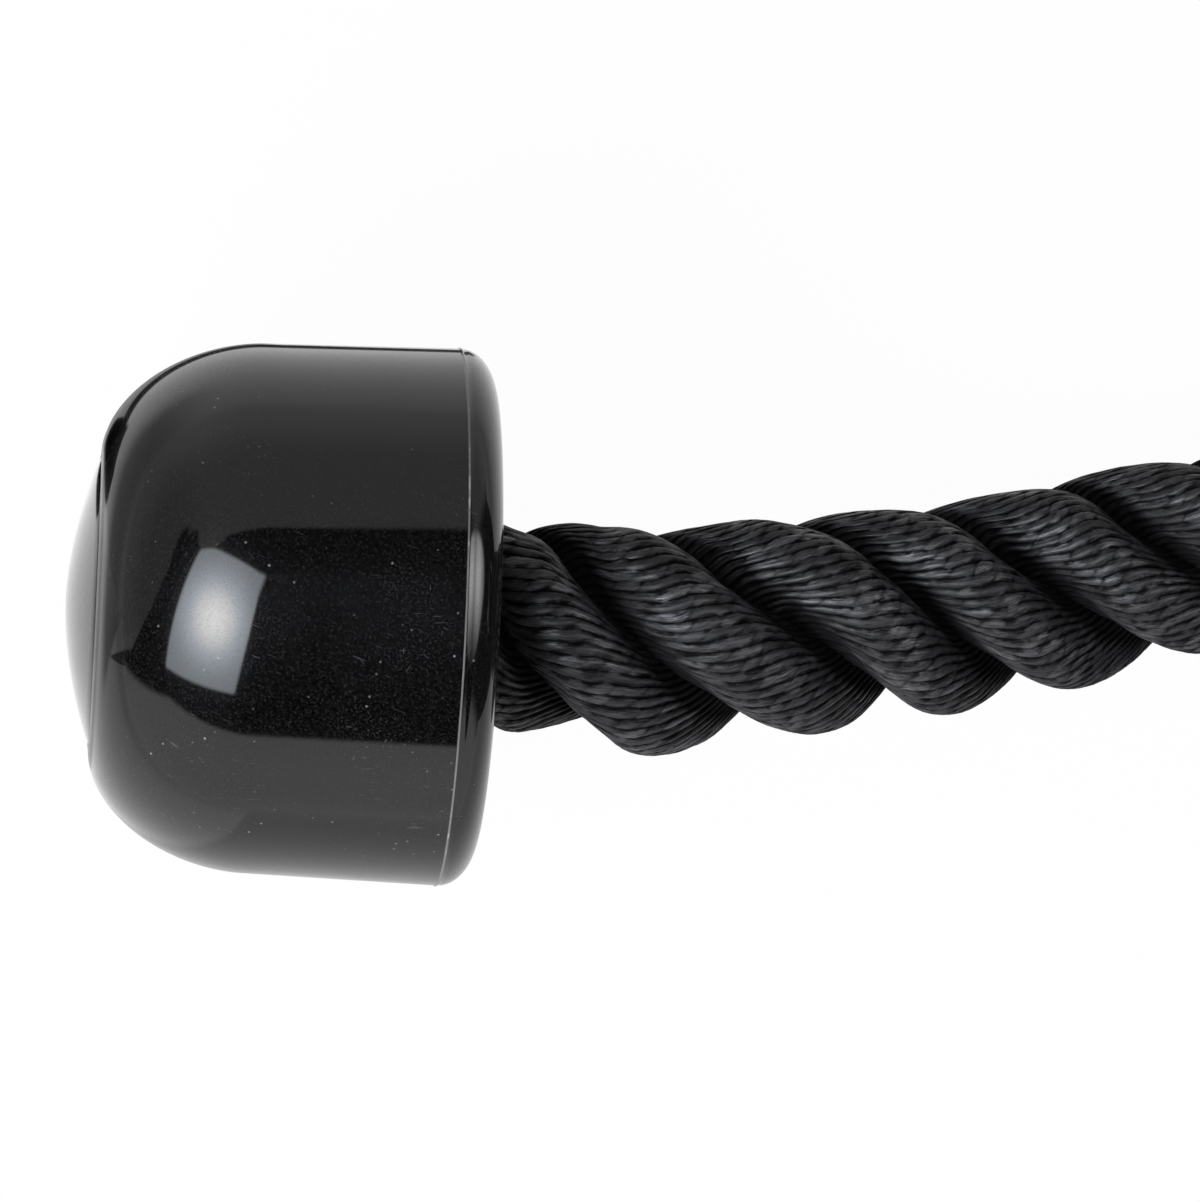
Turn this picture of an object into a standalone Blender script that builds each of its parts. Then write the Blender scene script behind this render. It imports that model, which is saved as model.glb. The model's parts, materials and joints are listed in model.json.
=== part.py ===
# Triceps rope attachment: one rope folded in half round a bush in a swivelling metal yoke, a crimped sleeve that
# holds the fold together, and a heavy stopper on each rope end. It lies on a table as a wishbone, +Z up.
# The yoke and its eye point to +X, the stoppers to -X, and leg a is the one on the -Y side.

import math

import bmesh
import bpy
from mathutils import Vector

# Driving sizes, in metres and degrees
clearance = 0.0003
weld_distance = 0.000001
cut_overrun = 0.002

rope_diameter = 0.028
rope_point_spacing = 0.019
rope_end_run = 0.002
rope_bevel_steps = 3

bight_steps = 20
bight_run = 0.040
bight_run_steps = 7

stopper_length = 0.0522
stopper_diameter = 0.0726
stopper_shoulder_length = 0.0215
stopper_shoulder_power = 1.84
stopper_wall_taper = 1.6
stopper_rim_width = 0.0004
stopper_back_round_length = 0.0047
stopper_back_round_depth = 0.0064
stopper_mouth_round = 0.0012
stopper_seat_share = 0.4215
stopper_pocket_diameter = 0.0366
stopper_segments = 36
stopper_tip_up = 5.6
stopper_turn_in = 15.4
stopper_reach = 0.2663
stopper_spread = 0.0785

plug_diameter = 0.0386
plug_dome_height = 0.0036
plug_depth = 0.006
plug_dome_rings = 5
plug_land_width = 0.0004

end_ferrule_wall = 0.003
end_washer_thickness = 0.0016
tail_past_ferrule = 0.003
tail_gap_to_plug = 0.0035

sleeve_length = 0.032
sleeve_wall = 0.0038
sleeve_groove_depth = 0.0012
sleeve_edge_round = 0.0016
sleeve_arc_steps = 9

bolt_diameter = 0.010
bolt_head_width = 0.017
bolt_head_height = 0.0064
bolt_thread_past_nut = 0.0022
nut_height = 0.0074
nut_collar_height = 0.0026
nut_collar_wall = 0.0022
washer_diameter = 0.021
washer_thickness = 0.0016
hex_chamfer = 0.0010

bush_wall = 0.0044
bush_flange_reach = 0.0113
bush_flange_thickness = 0.002
bush_flange_edge = 0.0005

yoke_plate_thickness = 0.006
yoke_width = 0.028
yoke_corner_radius = 0.009
yoke_corner_steps = 5
yoke_edge_bevel = 0.0009

swivel_shank_diameter = 0.012
swivel_tip_gap = 0.0015
swivel_thread_past_nut = 0.0013
swivel_nut_width = 0.019
swivel_nut_height = 0.007
swivel_washer_diameter = 0.024
swivel_collar_diameter = 0.022
swivel_collar_length = 0.004
swivel_neck_diameter = 0.016
swivel_collar_chamfer = 0.0008

eye_hole_diameter = 0.030
eye_bar = 0.011
eye_bar_corner = 0.0032
eye_segments = 32
eye_neck_sunk = 0.004

round_segments = 24

# Places along one stopper share this outline of the shoulder: shares of its length, from the outer end
shoulder_shares = (0.0, 0.02, 0.07, 0.15, 0.27, 0.42, 0.6, 0.8, 1.0)
# Stations of the crimped sleeve from one end to the other: share of its length, share of its groove depth
sleeve_groove_shares = ((0.22, 0), (0.28, 1), (0.40, 1), (0.46, 0), (0.54, 0), (0.60, 1), (0.72, 1), (0.78, 0))

# The free part of a leg, chosen by hand: it comes down from the sleeve, lies on the table and climbs to the stopper.
# Shares of the way from sleeve to stopper along X and along Y, and of the height of the end that is nearer
leg_fall_shares = (
    (0.0926, 0.0023, 0.8994),
    (0.2578, 0.0614, 0.4083),
    (0.4138, 0.2354, 0.0296),
    (0.5280, 0.4141, 0.0000),
)
leg_climb_shares = (
    (0.6104, 0.5431, 0.0421),
    (0.6963, 0.6768, 0.2387),
    (0.8235, 0.8539, 0.6786),
    (0.9197, 0.9503, 0.9126),
)

# Sizes that follow
rope_radius = rope_diameter / 2
bolt_radius = bolt_diameter / 2
rope_bore_radius = rope_radius + clearance
stopper_radius = stopper_diameter / 2
stopper_seat_depth = stopper_length * stopper_seat_share
plug_radius = plug_diameter / 2
plug_recess_radius = plug_radius + clearance
half_pair = rope_radius + clearance / 2
bush_bore_radius = bolt_radius + clearance
bush_core_radius = bush_bore_radius + bush_wall
bight_radius = bush_core_radius + clearance + rope_radius
bush_height = rope_diameter + 2 * clearance + 2 * bush_flange_thickness
arm_gap = bush_height + 2 * clearance
lower_arm_z = bolt_head_height + washer_thickness + 2 * clearance
rope_height = lower_arm_z + yoke_plate_thickness + arm_gap / 2
sleeve_front_x = -bight_run
sleeve_mouth_x = sleeve_front_x - sleeve_length
swivel_tip_x = bight_radius + rope_radius + swivel_tip_gap
swivel_nut_x = swivel_tip_x + swivel_thread_past_nut
swivel_washer_x = swivel_nut_x + swivel_nut_height + clearance
bridge_x = swivel_washer_x + washer_thickness + clearance
bridge_outer_x = bridge_x + yoke_plate_thickness
swivel_collar_x = bridge_outer_x + clearance
eye_outer_radius = eye_hole_diameter / 2 + eye_bar
eye_x = swivel_collar_x + swivel_collar_length + eye_neck_sunk + eye_outer_radius


def material(name, colour, roughness, metallic):
    made = bpy.data.materials.new(name)
    made.use_nodes = True
    shader = made.node_tree.nodes["Principled BSDF"]
    shader.inputs["Base Color"].default_value = (*colour, 1)
    shader.inputs["Roughness"].default_value = roughness
    shader.inputs["Metallic"].default_value = metallic
    return made


def empty(name, place, parent=None):
    made = bpy.data.objects.new(name, None)
    bpy.context.collection.objects.link(made)
    made.location = place
    made.parent = parent
    return made


def put(thing, place, direction, finish, parent):
    # Places an object with its local Z along the direction and gives it its finish
    bpy.context.collection.objects.link(thing)
    thing.location = place
    thing.rotation_euler = Vector((0, 0, 1)).rotation_difference(Vector(direction)).to_euler()
    thing.parent = parent
    if finish:
        thing.data.materials.append(finish)
    return thing


def solid(name, shape, smooth_angle=35):
    bmesh.ops.recalc_face_normals(shape, faces=shape.faces)
    mesh = bpy.data.meshes.new(name)
    shape.to_mesh(mesh)
    shape.free()
    mesh.shade_smooth()
    mesh.set_sharp_from_angle(angle=math.radians(smooth_angle))
    return bpy.data.objects.new(name, mesh)


def turned(name, outline, segments=round_segments):
    # Spins an outline of (radius, height) about Z; one that starts and ends on the axis closes itself
    shape = bmesh.new()
    points = [shape.verts.new((radius, 0, height)) for radius, height in outline]
    if outline[0][0] > 0:
        points.append(points[0])
    edges = [shape.edges.new(pair) for pair in zip(points, points[1:])]
    bmesh.ops.spin(
        shape,
        geom=edges + list(shape.verts),
        cent=(0, 0, 0),
        axis=(0, 0, 1),
        angle=math.tau,
        steps=segments,
        use_merge=True,
    )
    bmesh.ops.remove_doubles(shape, verts=shape.verts, dist=weld_distance)
    return solid(name, shape)


def extruded(name, outline, height):
    # Raises a flat outline of (x, y) to the height
    shape = bmesh.new()
    face = shape.faces.new([shape.verts.new((x, y, 0)) for x, y in outline])
    raised = bmesh.ops.extrude_face_region(shape, geom=[face])["geom"]
    moved = [part for part in raised if isinstance(part, bmesh.types.BMVert)]
    bmesh.ops.translate(shape, verts=moved, vec=(0, 0, height))
    return solid(name, shape)


def boolean(thing, other, operation):
    other.hide_render = True
    other.display_type = "WIRE"
    step = thing.modifiers.new(operation.lower(), "BOOLEAN")
    step.operation = operation
    step.object = other
    step.solver = "EXACT"


def bevelled(thing, width):
    edge = thing.modifiers.new("edge", "BEVEL")
    edge.width = width
    edge.segments = 1
    edge.limit_method = "ANGLE"


def arc(centre_x, centre_y, radius, start, end, steps):
    turns = [math.radians(start + (end - start) * step / steps) for step in range(steps + 1)]
    return [(centre_x + radius * math.cos(turn), centre_y + radius * math.sin(turn)) for turn in turns]


def ring(name, inner_radius, outer_radius, thickness):
    return turned(name, [(inner_radius, 0), (outer_radius, 0), (outer_radius, thickness), (inner_radius, thickness)])


def hexagon(name, width, height, place, direction, finish, parent):
    # A six-sided block whose corners are turned off at both faces, at 30 degrees
    corner_radius = width / math.sqrt(3)
    block = extruded(name, arc(0, 0, corner_radius, 0, 300, 5), height)
    put(block, place, direction, finish, parent)
    past = hex_chamfer
    widest = corner_radius + hex_chamfer
    narrowest = corner_radius - 2 * hex_chamfer - past * math.sqrt(3)
    cone = (widest - narrowest) / math.sqrt(3)
    outline = [(0, -past), (narrowest, -past), (widest, cone - past)]
    outline += [(widest, height + past - cone), (narrowest, height + past), (0, height + past)]
    blank = turned(name + "_blank", outline)
    put(blank, place, direction, None, parent)
    boolean(block, blank, "INTERSECT")
    return block


def drilled(thing, radius, length, start, direction, parent):
    drill = turned(thing.name + "_drill", [(0, 0), (radius, 0), (radius, length), (0, length)])
    put(drill, start, direction, None, parent)
    boolean(thing, drill, "DIFFERENCE")


def tube(name, points, origin, finish, parent):
    # A plain round rope along the points, with flat ends
    curve = bpy.data.curves.new(name, "CURVE")
    curve.dimensions = "3D"
    curve.bevel_depth = rope_radius
    curve.bevel_resolution = rope_bevel_steps
    curve.use_fill_caps = True
    line = curve.splines.new("POLY")
    line.points.add(len(points) - 1)
    for point, place in zip(line.points, points):
        point.co = (*(Vector(place) - Vector(origin)), 1)
    line.use_smooth = True
    thing = bpy.data.objects.new(name, curve)
    bpy.context.collection.objects.link(thing)
    thing.location = origin
    thing.parent = parent
    curve.materials.append(finish)
    return thing


def smooth_route(route, start_direction, end_direction):
    # Even points on a smooth curve through the route, leaving and arriving in the given directions
    knots = [Vector(place) for place in route]
    spans = [(b - a).length for a, b in zip(knots, knots[1:])]
    slopes = [Vector(start_direction)]
    for before, here, after in zip(knots, knots[1:], knots[2:]):
        slopes.append((after - before).normalized())
    slopes.append(Vector(end_direction))
    fine = []
    parts = 24
    for index, span in enumerate(spans):
        for step in range(parts):
            t = step / parts
            fine.append(
                knots[index] * (1 + 2 * t) * (1 - t) ** 2
                + slopes[index] * span * t * (1 - t) ** 2
                + knots[index + 1] * t * t * (3 - 2 * t)
                - slopes[index + 1] * span * t * t * (1 - t)
            )
    fine.append(knots[-1])
    lengths = [0]
    for a, b in zip(fine, fine[1:]):
        lengths.append(lengths[-1] + (b - a).length)
    count = round(lengths[-1] / rope_point_spacing)
    points = []
    at = 0
    for index in range(count + 1):
        wanted = lengths[-1] * index / count
        while at < len(fine) - 2 and lengths[at + 1] < wanted:
            at += 1
        share = (wanted - lengths[at]) / (lengths[at + 1] - lengths[at])
        points.append(fine[at].lerp(fine[at + 1], share))
    # A short run at each end keeps the end faces square to what they meet
    points.insert(1, points[0] + Vector(start_direction) * rope_end_run)
    points.insert(-1, points[-1] - Vector(end_direction) * rope_end_run)
    return points, lengths[-1]


def stopper_outline():
    # Radius against distance from the back face, where the rope goes in, to the outer end
    rim_start = stopper_back_round_length
    rim_end = rim_start + stopper_rim_width
    shoulder_start = stopper_length - stopper_shoulder_length
    wall_drop = math.tan(math.radians(stopper_wall_taper)) * (shoulder_start - rim_end)
    wall_radius = stopper_radius - wall_drop
    land_radius = plug_recess_radius + plug_land_width
    back = []
    for turn in (90, 65, 40, 18, 0):
        angle = math.radians(turn)
        radius = stopper_radius - stopper_back_round_depth * (1 - math.cos(angle))
        back.append((radius, rim_start - stopper_back_round_length * math.sin(angle)))
    shoulder = []
    for share in shoulder_shares:
        fullness = (1 - (1 - share) ** stopper_shoulder_power) ** (1 / stopper_shoulder_power)
        radius = land_radius + (wall_radius - land_radius) * fullness
        shoulder.append((radius, stopper_length - stopper_shoulder_length * share))
    return back + [(stopper_radius, rim_end)] + shoulder[::-1]


def stopper_direction(side):
    # From the mouth to the outer end
    turn_in = math.radians(stopper_turn_in)
    tip_up = math.radians(stopper_tip_up)
    return Vector(
        (
            -math.cos(turn_in) * math.cos(tip_up),
            side * math.sin(turn_in) * math.cos(tip_up),
            math.sin(tip_up),
        )
    )


def stopper_mouth(side):
    # The stopper stands on its rim, so its lowest circle sets the height of its mouth
    tip_up = math.radians(stopper_tip_up)
    height = max(r * math.cos(tip_up) - t * math.sin(tip_up) for r, t in stopper_outline())
    return Vector((-stopper_reach, side * stopper_spread, height))


def stopper_low_x():
    # The smallest x of the stopper and its plug: each of their circles leans with the axis
    direction = stopper_direction(-1)
    lean = math.sqrt(1 - direction.x**2)
    circles = stopper_outline() + [(0, stopper_length + plug_dome_height)]
    return min(-stopper_reach + direction.x * t - lean * r for r, t in circles)


def make_stopper(letter, mouth, direction, leg, finishes):
    seat = stopper_length - plug_depth - clearance
    outline = stopper_outline() + [
        (plug_recess_radius, stopper_length),
        (plug_recess_radius, seat),
        (stopper_pocket_diameter / 2, seat),
        (stopper_pocket_diameter / 2, stopper_seat_depth),
        (rope_bore_radius, stopper_seat_depth),
        (rope_bore_radius, stopper_mouth_round),
        (rope_bore_radius + stopper_mouth_round, 0),
    ]
    body = turned("stopper_body_" + letter, outline, stopper_segments)
    put(body, mouth, direction, finishes["stopper"], leg)
    dome = []
    for ring_number in range(plug_dome_rings + 1):
        share = ring_number / plug_dome_rings
        dome.append((plug_radius * share, stopper_length + plug_dome_height * (1 - share**2)))
    plug_bottom = stopper_length - plug_depth
    plug = turned("end_plug_" + letter, dome + [(plug_radius, plug_bottom), (0, plug_bottom)], stopper_segments)
    put(plug, mouth, direction, finishes["stopper"], leg)


def make_rope_end(letter, mouth, direction, leg, finishes):
    # The tail runs through the stopper; a washer and a crimped ferrule keep the stopper on
    washer_start = stopper_seat_depth + clearance
    ferrule_start = washer_start + end_washer_thickness + clearance
    tail_end = stopper_length - plug_depth - tail_gap_to_plug
    ferrule_length = tail_end - tail_past_ferrule - ferrule_start
    washer_radius = stopper_pocket_diameter / 2 - clearance
    washer = ring("end_washer_" + letter, rope_bore_radius, washer_radius, end_washer_thickness)
    put(washer, mouth + direction * washer_start, direction, finishes["steel"], leg)
    ferrule_radius = rope_bore_radius + end_ferrule_wall
    ferrule = ring("end_ferrule_" + letter, rope_bore_radius, ferrule_radius, ferrule_length)
    put(ferrule, mouth + direction * ferrule_start, direction, finishes["aluminium"], leg)
    tube("rope_tail_" + letter, [mouth, mouth + direction * tail_end], mouth, finishes["rope"], leg)


def make_leg(letter, side, assembly, finishes):
    # All of a leg is placed from the middle of the sleeve's mouth, where the rope starts to bend
    pivot = Vector((sleeve_mouth_x, side * half_pair, rope_height))
    leg = empty("leg_" + letter, pivot, assembly)
    mouth = stopper_mouth(side) - pivot
    direction = stopper_direction(side)
    make_stopper(letter, mouth, direction, leg, finishes)
    make_rope_end(letter, mouth, direction, leg, finishes)
    start = Vector((-clearance, 0, 0))
    end = mouth - direction * clearance
    lying = rope_bore_radius - pivot.z
    middle = [Vector((mouth.x * x, mouth.y * y, lying - lying * z)) for x, y, z in leg_fall_shares]
    middle += [Vector((mouth.x * x, mouth.y * y, lying + (mouth.z - lying) * z)) for x, y, z in leg_climb_shares]
    points, length = smooth_route([start, *middle, end], (-1, 0, 0), direction)
    tube("rope_leg_" + letter, points, (0, 0, 0), finishes["rope"], leg)
    return length


def make_bight(assembly, finishes):
    # Out through the sleeve, apart to the bush, round it and back the same way
    side_run = [Vector((sleeve_mouth_x, -half_pair, rope_height))]
    for step in range(bight_run_steps):
        share = step / bight_run_steps
        swell = (1 - math.cos(math.pi * share)) / 2
        reach_y = half_pair + (bight_radius - half_pair) * swell
        side_run.append(Vector((sleeve_front_x * (1 - share), -reach_y, rope_height)))
    turn = [Vector((x, y, rope_height)) for x, y in arc(0, 0, bight_radius, -90, 90, bight_steps)]
    back = [Vector((place.x, -place.y, place.z)) for place in side_run[::-1]]
    tube("rope_bight", side_run + turn + back, (0, 0, rope_height), finishes["rope"], assembly)


def make_sleeve(assembly, finishes):
    # A crimped oval sleeve round both legs, lofted from end to end with two pressed grooves
    inner = rope_bore_radius
    outer = inner + sleeve_wall
    stations = [(0, outer - sleeve_edge_round), (sleeve_edge_round / sleeve_length, outer)]
    stations += [(share, outer - sleeve_groove_depth * depth) for share, depth in sleeve_groove_shares]
    stations += [(1 - sleeve_edge_round / sleeve_length, outer), (1, outer - sleeve_edge_round)]
    shape = bmesh.new()

    def oval(radius, share):
        right = arc(half_pair, 0, radius, -90, 90, sleeve_arc_steps)
        left = arc(-half_pair, 0, radius, 90, 270, sleeve_arc_steps)
        x = sleeve_front_x - sleeve_length * share
        return [shape.verts.new((x, y, rope_height + z)) for y, z in right + left]

    loops = [oval(radius, share) for share, radius in stations] + [oval(inner, 1), oval(inner, 0)]
    for here, after in zip(loops, loops[1:] + loops[:1]):
        for index in range(len(here)):
            beyond = (index + 1) % len(here)
            shape.faces.new((here[index], here[beyond], after[beyond], after[index]))
    put(solid("crimp_sleeve", shape), (0, 0, 0), (0, 0, 1), finishes["chrome"], assembly)


def make_bush(assembly, finishes):
    flange = bush_core_radius + bush_flange_reach
    half = bush_height / 2
    inner_face = half - bush_flange_thickness
    edge = bush_flange_edge
    lower = [(bush_bore_radius, -half), (flange - edge, -half), (flange, -half + edge), (flange, -inner_face)]
    lower.append((bush_core_radius, -inner_face))
    upper = [(radius, -height) for radius, height in lower[::-1]]
    bush = turned("thimble_bush", lower + upper)
    put(bush, (0, 0, rope_height), (0, 0, 1), finishes["steel"], assembly)


def make_bolt(assembly, finishes):
    # Head down, so the fitting rests on it; nut and washers above and below the yoke
    up = (0, 0, 1)
    upper_arm_top = rope_height + arm_gap / 2 + yoke_plate_thickness
    upper_washer_z = upper_arm_top + clearance
    nut_z = upper_washer_z + washer_thickness + clearance
    tip_z = nut_z + nut_height + nut_collar_height + bolt_thread_past_nut
    bolt = hexagon("yoke_bolt", bolt_head_width, bolt_head_height, (0, 0, 0), up, finishes["steel"], assembly)
    shank_start = bolt_head_height / 2
    tip = hex_chamfer
    shank = turned(
        "yoke_bolt_shank",
        [
            (0, shank_start),
            (bolt_radius, shank_start),
            (bolt_radius, tip_z - tip),
            (bolt_radius - tip, tip_z),
            (0, tip_z),
        ],
    )
    put(shank, (0, 0, 0), up, None, assembly)
    boolean(bolt, shank, "UNION")
    hole = bolt_radius + clearance
    lower = ring("yoke_washer_lower", hole, washer_diameter / 2, washer_thickness)
    put(lower, (0, 0, bolt_head_height + clearance), up, finishes["steel"], assembly)
    upper = ring("yoke_washer_upper", hole, washer_diameter / 2, washer_thickness)
    put(upper, (0, 0, upper_washer_z), up, finishes["steel"], assembly)
    nut = hexagon("yoke_nut", bolt_head_width, nut_height, (0, 0, nut_z), up, finishes["steel"], assembly)
    collar_radius = hole + nut_collar_wall
    collar_bottom = nut_height / 2
    collar_top = nut_height + nut_collar_height
    collar = turned(
        "yoke_nut_collar",
        [
            (0, collar_bottom),
            (collar_radius, collar_bottom),
            (collar_radius, collar_top - hex_chamfer),
            (collar_radius - hex_chamfer, collar_top),
            (0, collar_top),
        ],
    )
    put(collar, (0, 0, nut_z), up, None, assembly)
    boolean(nut, collar, "UNION")
    drilled(nut, hole, collar_top + 2 * cut_overrun, (0, 0, nut_z - cut_overrun), up, assembly)


def make_yoke(assembly, finishes):
    # A flat bar bent to a U, with round arm ends, on its side: the profile is drawn in X and Z
    half_outer = arm_gap / 2 + yoke_plate_thickness
    half_inner = arm_gap / 2
    corner = yoke_corner_radius
    inner_corner = corner - yoke_plate_thickness
    steps = yoke_corner_steps
    end_x = -yoke_width / 2
    outer = arc(bridge_outer_x - corner, -half_outer + corner, corner, -90, 0, steps)
    outer += arc(bridge_outer_x - corner, half_outer - corner, corner, 0, 90, steps)
    inner = arc(bridge_x - inner_corner, half_inner - inner_corner, inner_corner, 90, 0, steps)
    inner += arc(bridge_x - inner_corner, -half_inner + inner_corner, inner_corner, 0, -90, steps)
    outline = [(end_x, -half_outer)] + outer + [(end_x, half_outer), (end_x, half_inner)] + inner
    outline.append((end_x, -half_inner))
    shape = bmesh.new()
    half_width = yoke_width / 2
    face = shape.faces.new([shape.verts.new((x, -half_width, z)) for x, z in outline])
    raised = bmesh.ops.extrude_face_region(shape, geom=[face])["geom"]
    moved = [part for part in raised if isinstance(part, bmesh.types.BMVert)]
    bmesh.ops.translate(shape, verts=moved, vec=(0, yoke_width, 0))
    yoke = put(solid("yoke", shape), (0, 0, rope_height), (0, 0, 1), finishes["chrome"], assembly)
    bevelled(yoke, yoke_edge_bevel)
    far = bridge_outer_x + cut_overrun
    wide = half_width + cut_overrun
    rounding = arc(0, 0, half_width, 90, 270, 2 * sleeve_arc_steps)
    rounding += [(0, -wide), (far, -wide), (far, wide), (0, wide)]
    tall = 2 * half_outer + 2 * cut_overrun
    blank = extruded("yoke_end_blank", rounding, tall)
    put(blank, (0, 0, rope_height - tall / 2), (0, 0, 1), None, assembly)
    boolean(yoke, blank, "INTERSECT")
    drilled(yoke, bolt_radius + clearance, tall, (0, 0, rope_height - tall / 2), (0, 0, 1), assembly)
    through = yoke_plate_thickness + 2 * cut_overrun
    start = (bridge_x - cut_overrun, 0, rope_height)
    drilled(yoke, swivel_shank_diameter / 2 + clearance, through, start, (1, 0, 0), assembly)


def make_swivel(assembly, finishes):
    # A forged eye whose shank turns in the yoke's bridge, held by a washer and a slim nut
    shank = swivel_shank_diameter / 2
    collar = swivel_collar_diameter / 2
    neck = swivel_neck_diameter / 2
    chamfer = swivel_collar_chamfer
    collar_start = swivel_collar_x - swivel_tip_x
    collar_end = collar_start + swivel_collar_length
    neck_end = collar_end + eye_neck_sunk + eye_bar / 2
    along = (1, 0, 0)
    tip = (swivel_tip_x, 0, rope_height)
    stem = turned(
        "swivel_eye",
        [
            (0, 0),
            (shank - chamfer, 0),
            (shank, chamfer),
            (shank, collar_start),
            (collar - chamfer, collar_start),
            (collar, collar_start + chamfer),
            (collar, collar_end - chamfer),
            (neck, collar_end + chamfer),
            (neck, neck_end),
            (0, neck_end),
        ],
    )
    put(stem, tip, along, finishes["chrome"], assembly)
    inner = eye_hole_diameter / 2
    outer = eye_outer_radius
    half = eye_bar / 2
    cut = eye_bar_corner
    small = cut / 3
    quarter = [(outer, half - cut), (outer - small, half - small), (outer - cut, half)]
    quarter += [(inner + cut, half), (inner + small, half - small), (inner, half - cut)]
    section = quarter + [(radius, -height) for radius, height in quarter[::-1]]
    eye = turned("swivel_eye_ring", section, eye_segments)
    put(eye, (eye_x, 0, rope_height), (0, 0, 1), None, assembly)
    boolean(stem, eye, "UNION")
    washer = ring("swivel_washer", shank + clearance, swivel_washer_diameter / 2, washer_thickness)
    put(washer, (swivel_washer_x, 0, rope_height), along, finishes["steel"], assembly)
    place = (swivel_nut_x, 0, rope_height)
    nut = hexagon("swivel_nut", swivel_nut_width, swivel_nut_height, place, along, finishes["steel"], assembly)
    start = (swivel_nut_x - cut_overrun, 0, rope_height)
    drilled(nut, shank + clearance, swivel_nut_height + 2 * cut_overrun, start, along, assembly)


def main():
    for old in list(bpy.data.objects):
        bpy.data.objects.remove(old)
    finishes = {
        "stopper": material("gloss black plastic", (0.012, 0.012, 0.013), 0.12, 0),
        "rope": material("black nylon", (0.018, 0.019, 0.021), 0.75, 0),
        "chrome": material("chrome plate", (0.62, 0.63, 0.64), 0.12, 1),
        "steel": material("zinc plated steel", (0.50, 0.51, 0.52), 0.35, 1),
        "aluminium": material("aluminium", (0.60, 0.60, 0.61), 0.45, 1),
    }
    middle_x = (stopper_low_x() + eye_x + eye_outer_radius) / 2
    assembly = empty("rope_attachment", (-middle_x, 0, 0))
    make_bight(assembly, finishes)
    make_sleeve(assembly, finishes)
    make_bush(assembly, finishes)
    make_bolt(assembly, finishes)
    make_yoke(assembly, finishes)
    make_swivel(assembly, finishes)
    for letter, side in (("a", -1), ("b", 1)):
        length = make_leg(letter, side, assembly, finishes)
        print("free rope in leg", letter, round(length, 4), "m")
    print("bush axis at x =", round(-middle_x, 5), "m")


main()
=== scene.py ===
import json
import math
from functools import reduce
from operator import mul, or_

import bpy
from mathutils import Matrix, Vector, noise


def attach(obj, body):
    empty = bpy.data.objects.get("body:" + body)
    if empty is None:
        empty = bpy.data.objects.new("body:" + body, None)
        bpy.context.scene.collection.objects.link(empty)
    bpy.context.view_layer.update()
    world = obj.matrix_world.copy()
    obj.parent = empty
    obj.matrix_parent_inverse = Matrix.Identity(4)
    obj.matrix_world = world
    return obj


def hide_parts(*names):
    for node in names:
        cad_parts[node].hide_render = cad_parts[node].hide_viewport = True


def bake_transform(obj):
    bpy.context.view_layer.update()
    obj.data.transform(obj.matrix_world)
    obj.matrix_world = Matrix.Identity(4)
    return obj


# Triceps rope attachment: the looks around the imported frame. Metres, +Z up, the stoppers to -X.
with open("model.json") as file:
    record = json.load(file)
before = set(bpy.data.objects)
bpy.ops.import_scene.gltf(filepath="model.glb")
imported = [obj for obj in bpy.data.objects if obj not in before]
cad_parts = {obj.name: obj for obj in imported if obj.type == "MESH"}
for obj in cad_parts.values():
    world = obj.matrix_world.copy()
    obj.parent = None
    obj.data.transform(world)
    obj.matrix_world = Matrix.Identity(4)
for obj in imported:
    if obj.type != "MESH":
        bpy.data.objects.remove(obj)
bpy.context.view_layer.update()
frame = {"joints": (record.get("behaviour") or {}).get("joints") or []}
joints = {joint["name"]: joint for joint in frame["joints"]}

camera = {
    "place": (-0.1490, -0.0713, 0.8307),
    "turn": 18.0,  # degrees about Z, so that the rope leaves the picture to the right
    "focalPixels": 5896,
    "longSidePixels": 1201,
    "sensor": 36.0,
}


def makeCamera():
    data = bpy.data.cameras.new("camera")
    data.sensor_width = camera["sensor"]
    data.lens = camera["sensor"] * camera["focalPixels"] / camera["longSidePixels"]
    data.clip_start, data.clip_end = 0.05, 20
    seat = bpy.data.objects.new("camera", data)
    bpy.context.scene.collection.objects.link(seat)
    seat.location = camera["place"]
    seat.rotation_euler = (0, 0, math.radians(camera["turn"]))
    bpy.context.scene.camera = seat


makeCamera()
bpy.context.scene.view_settings.view_transform = "Standard"
print("camera in place")


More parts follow.
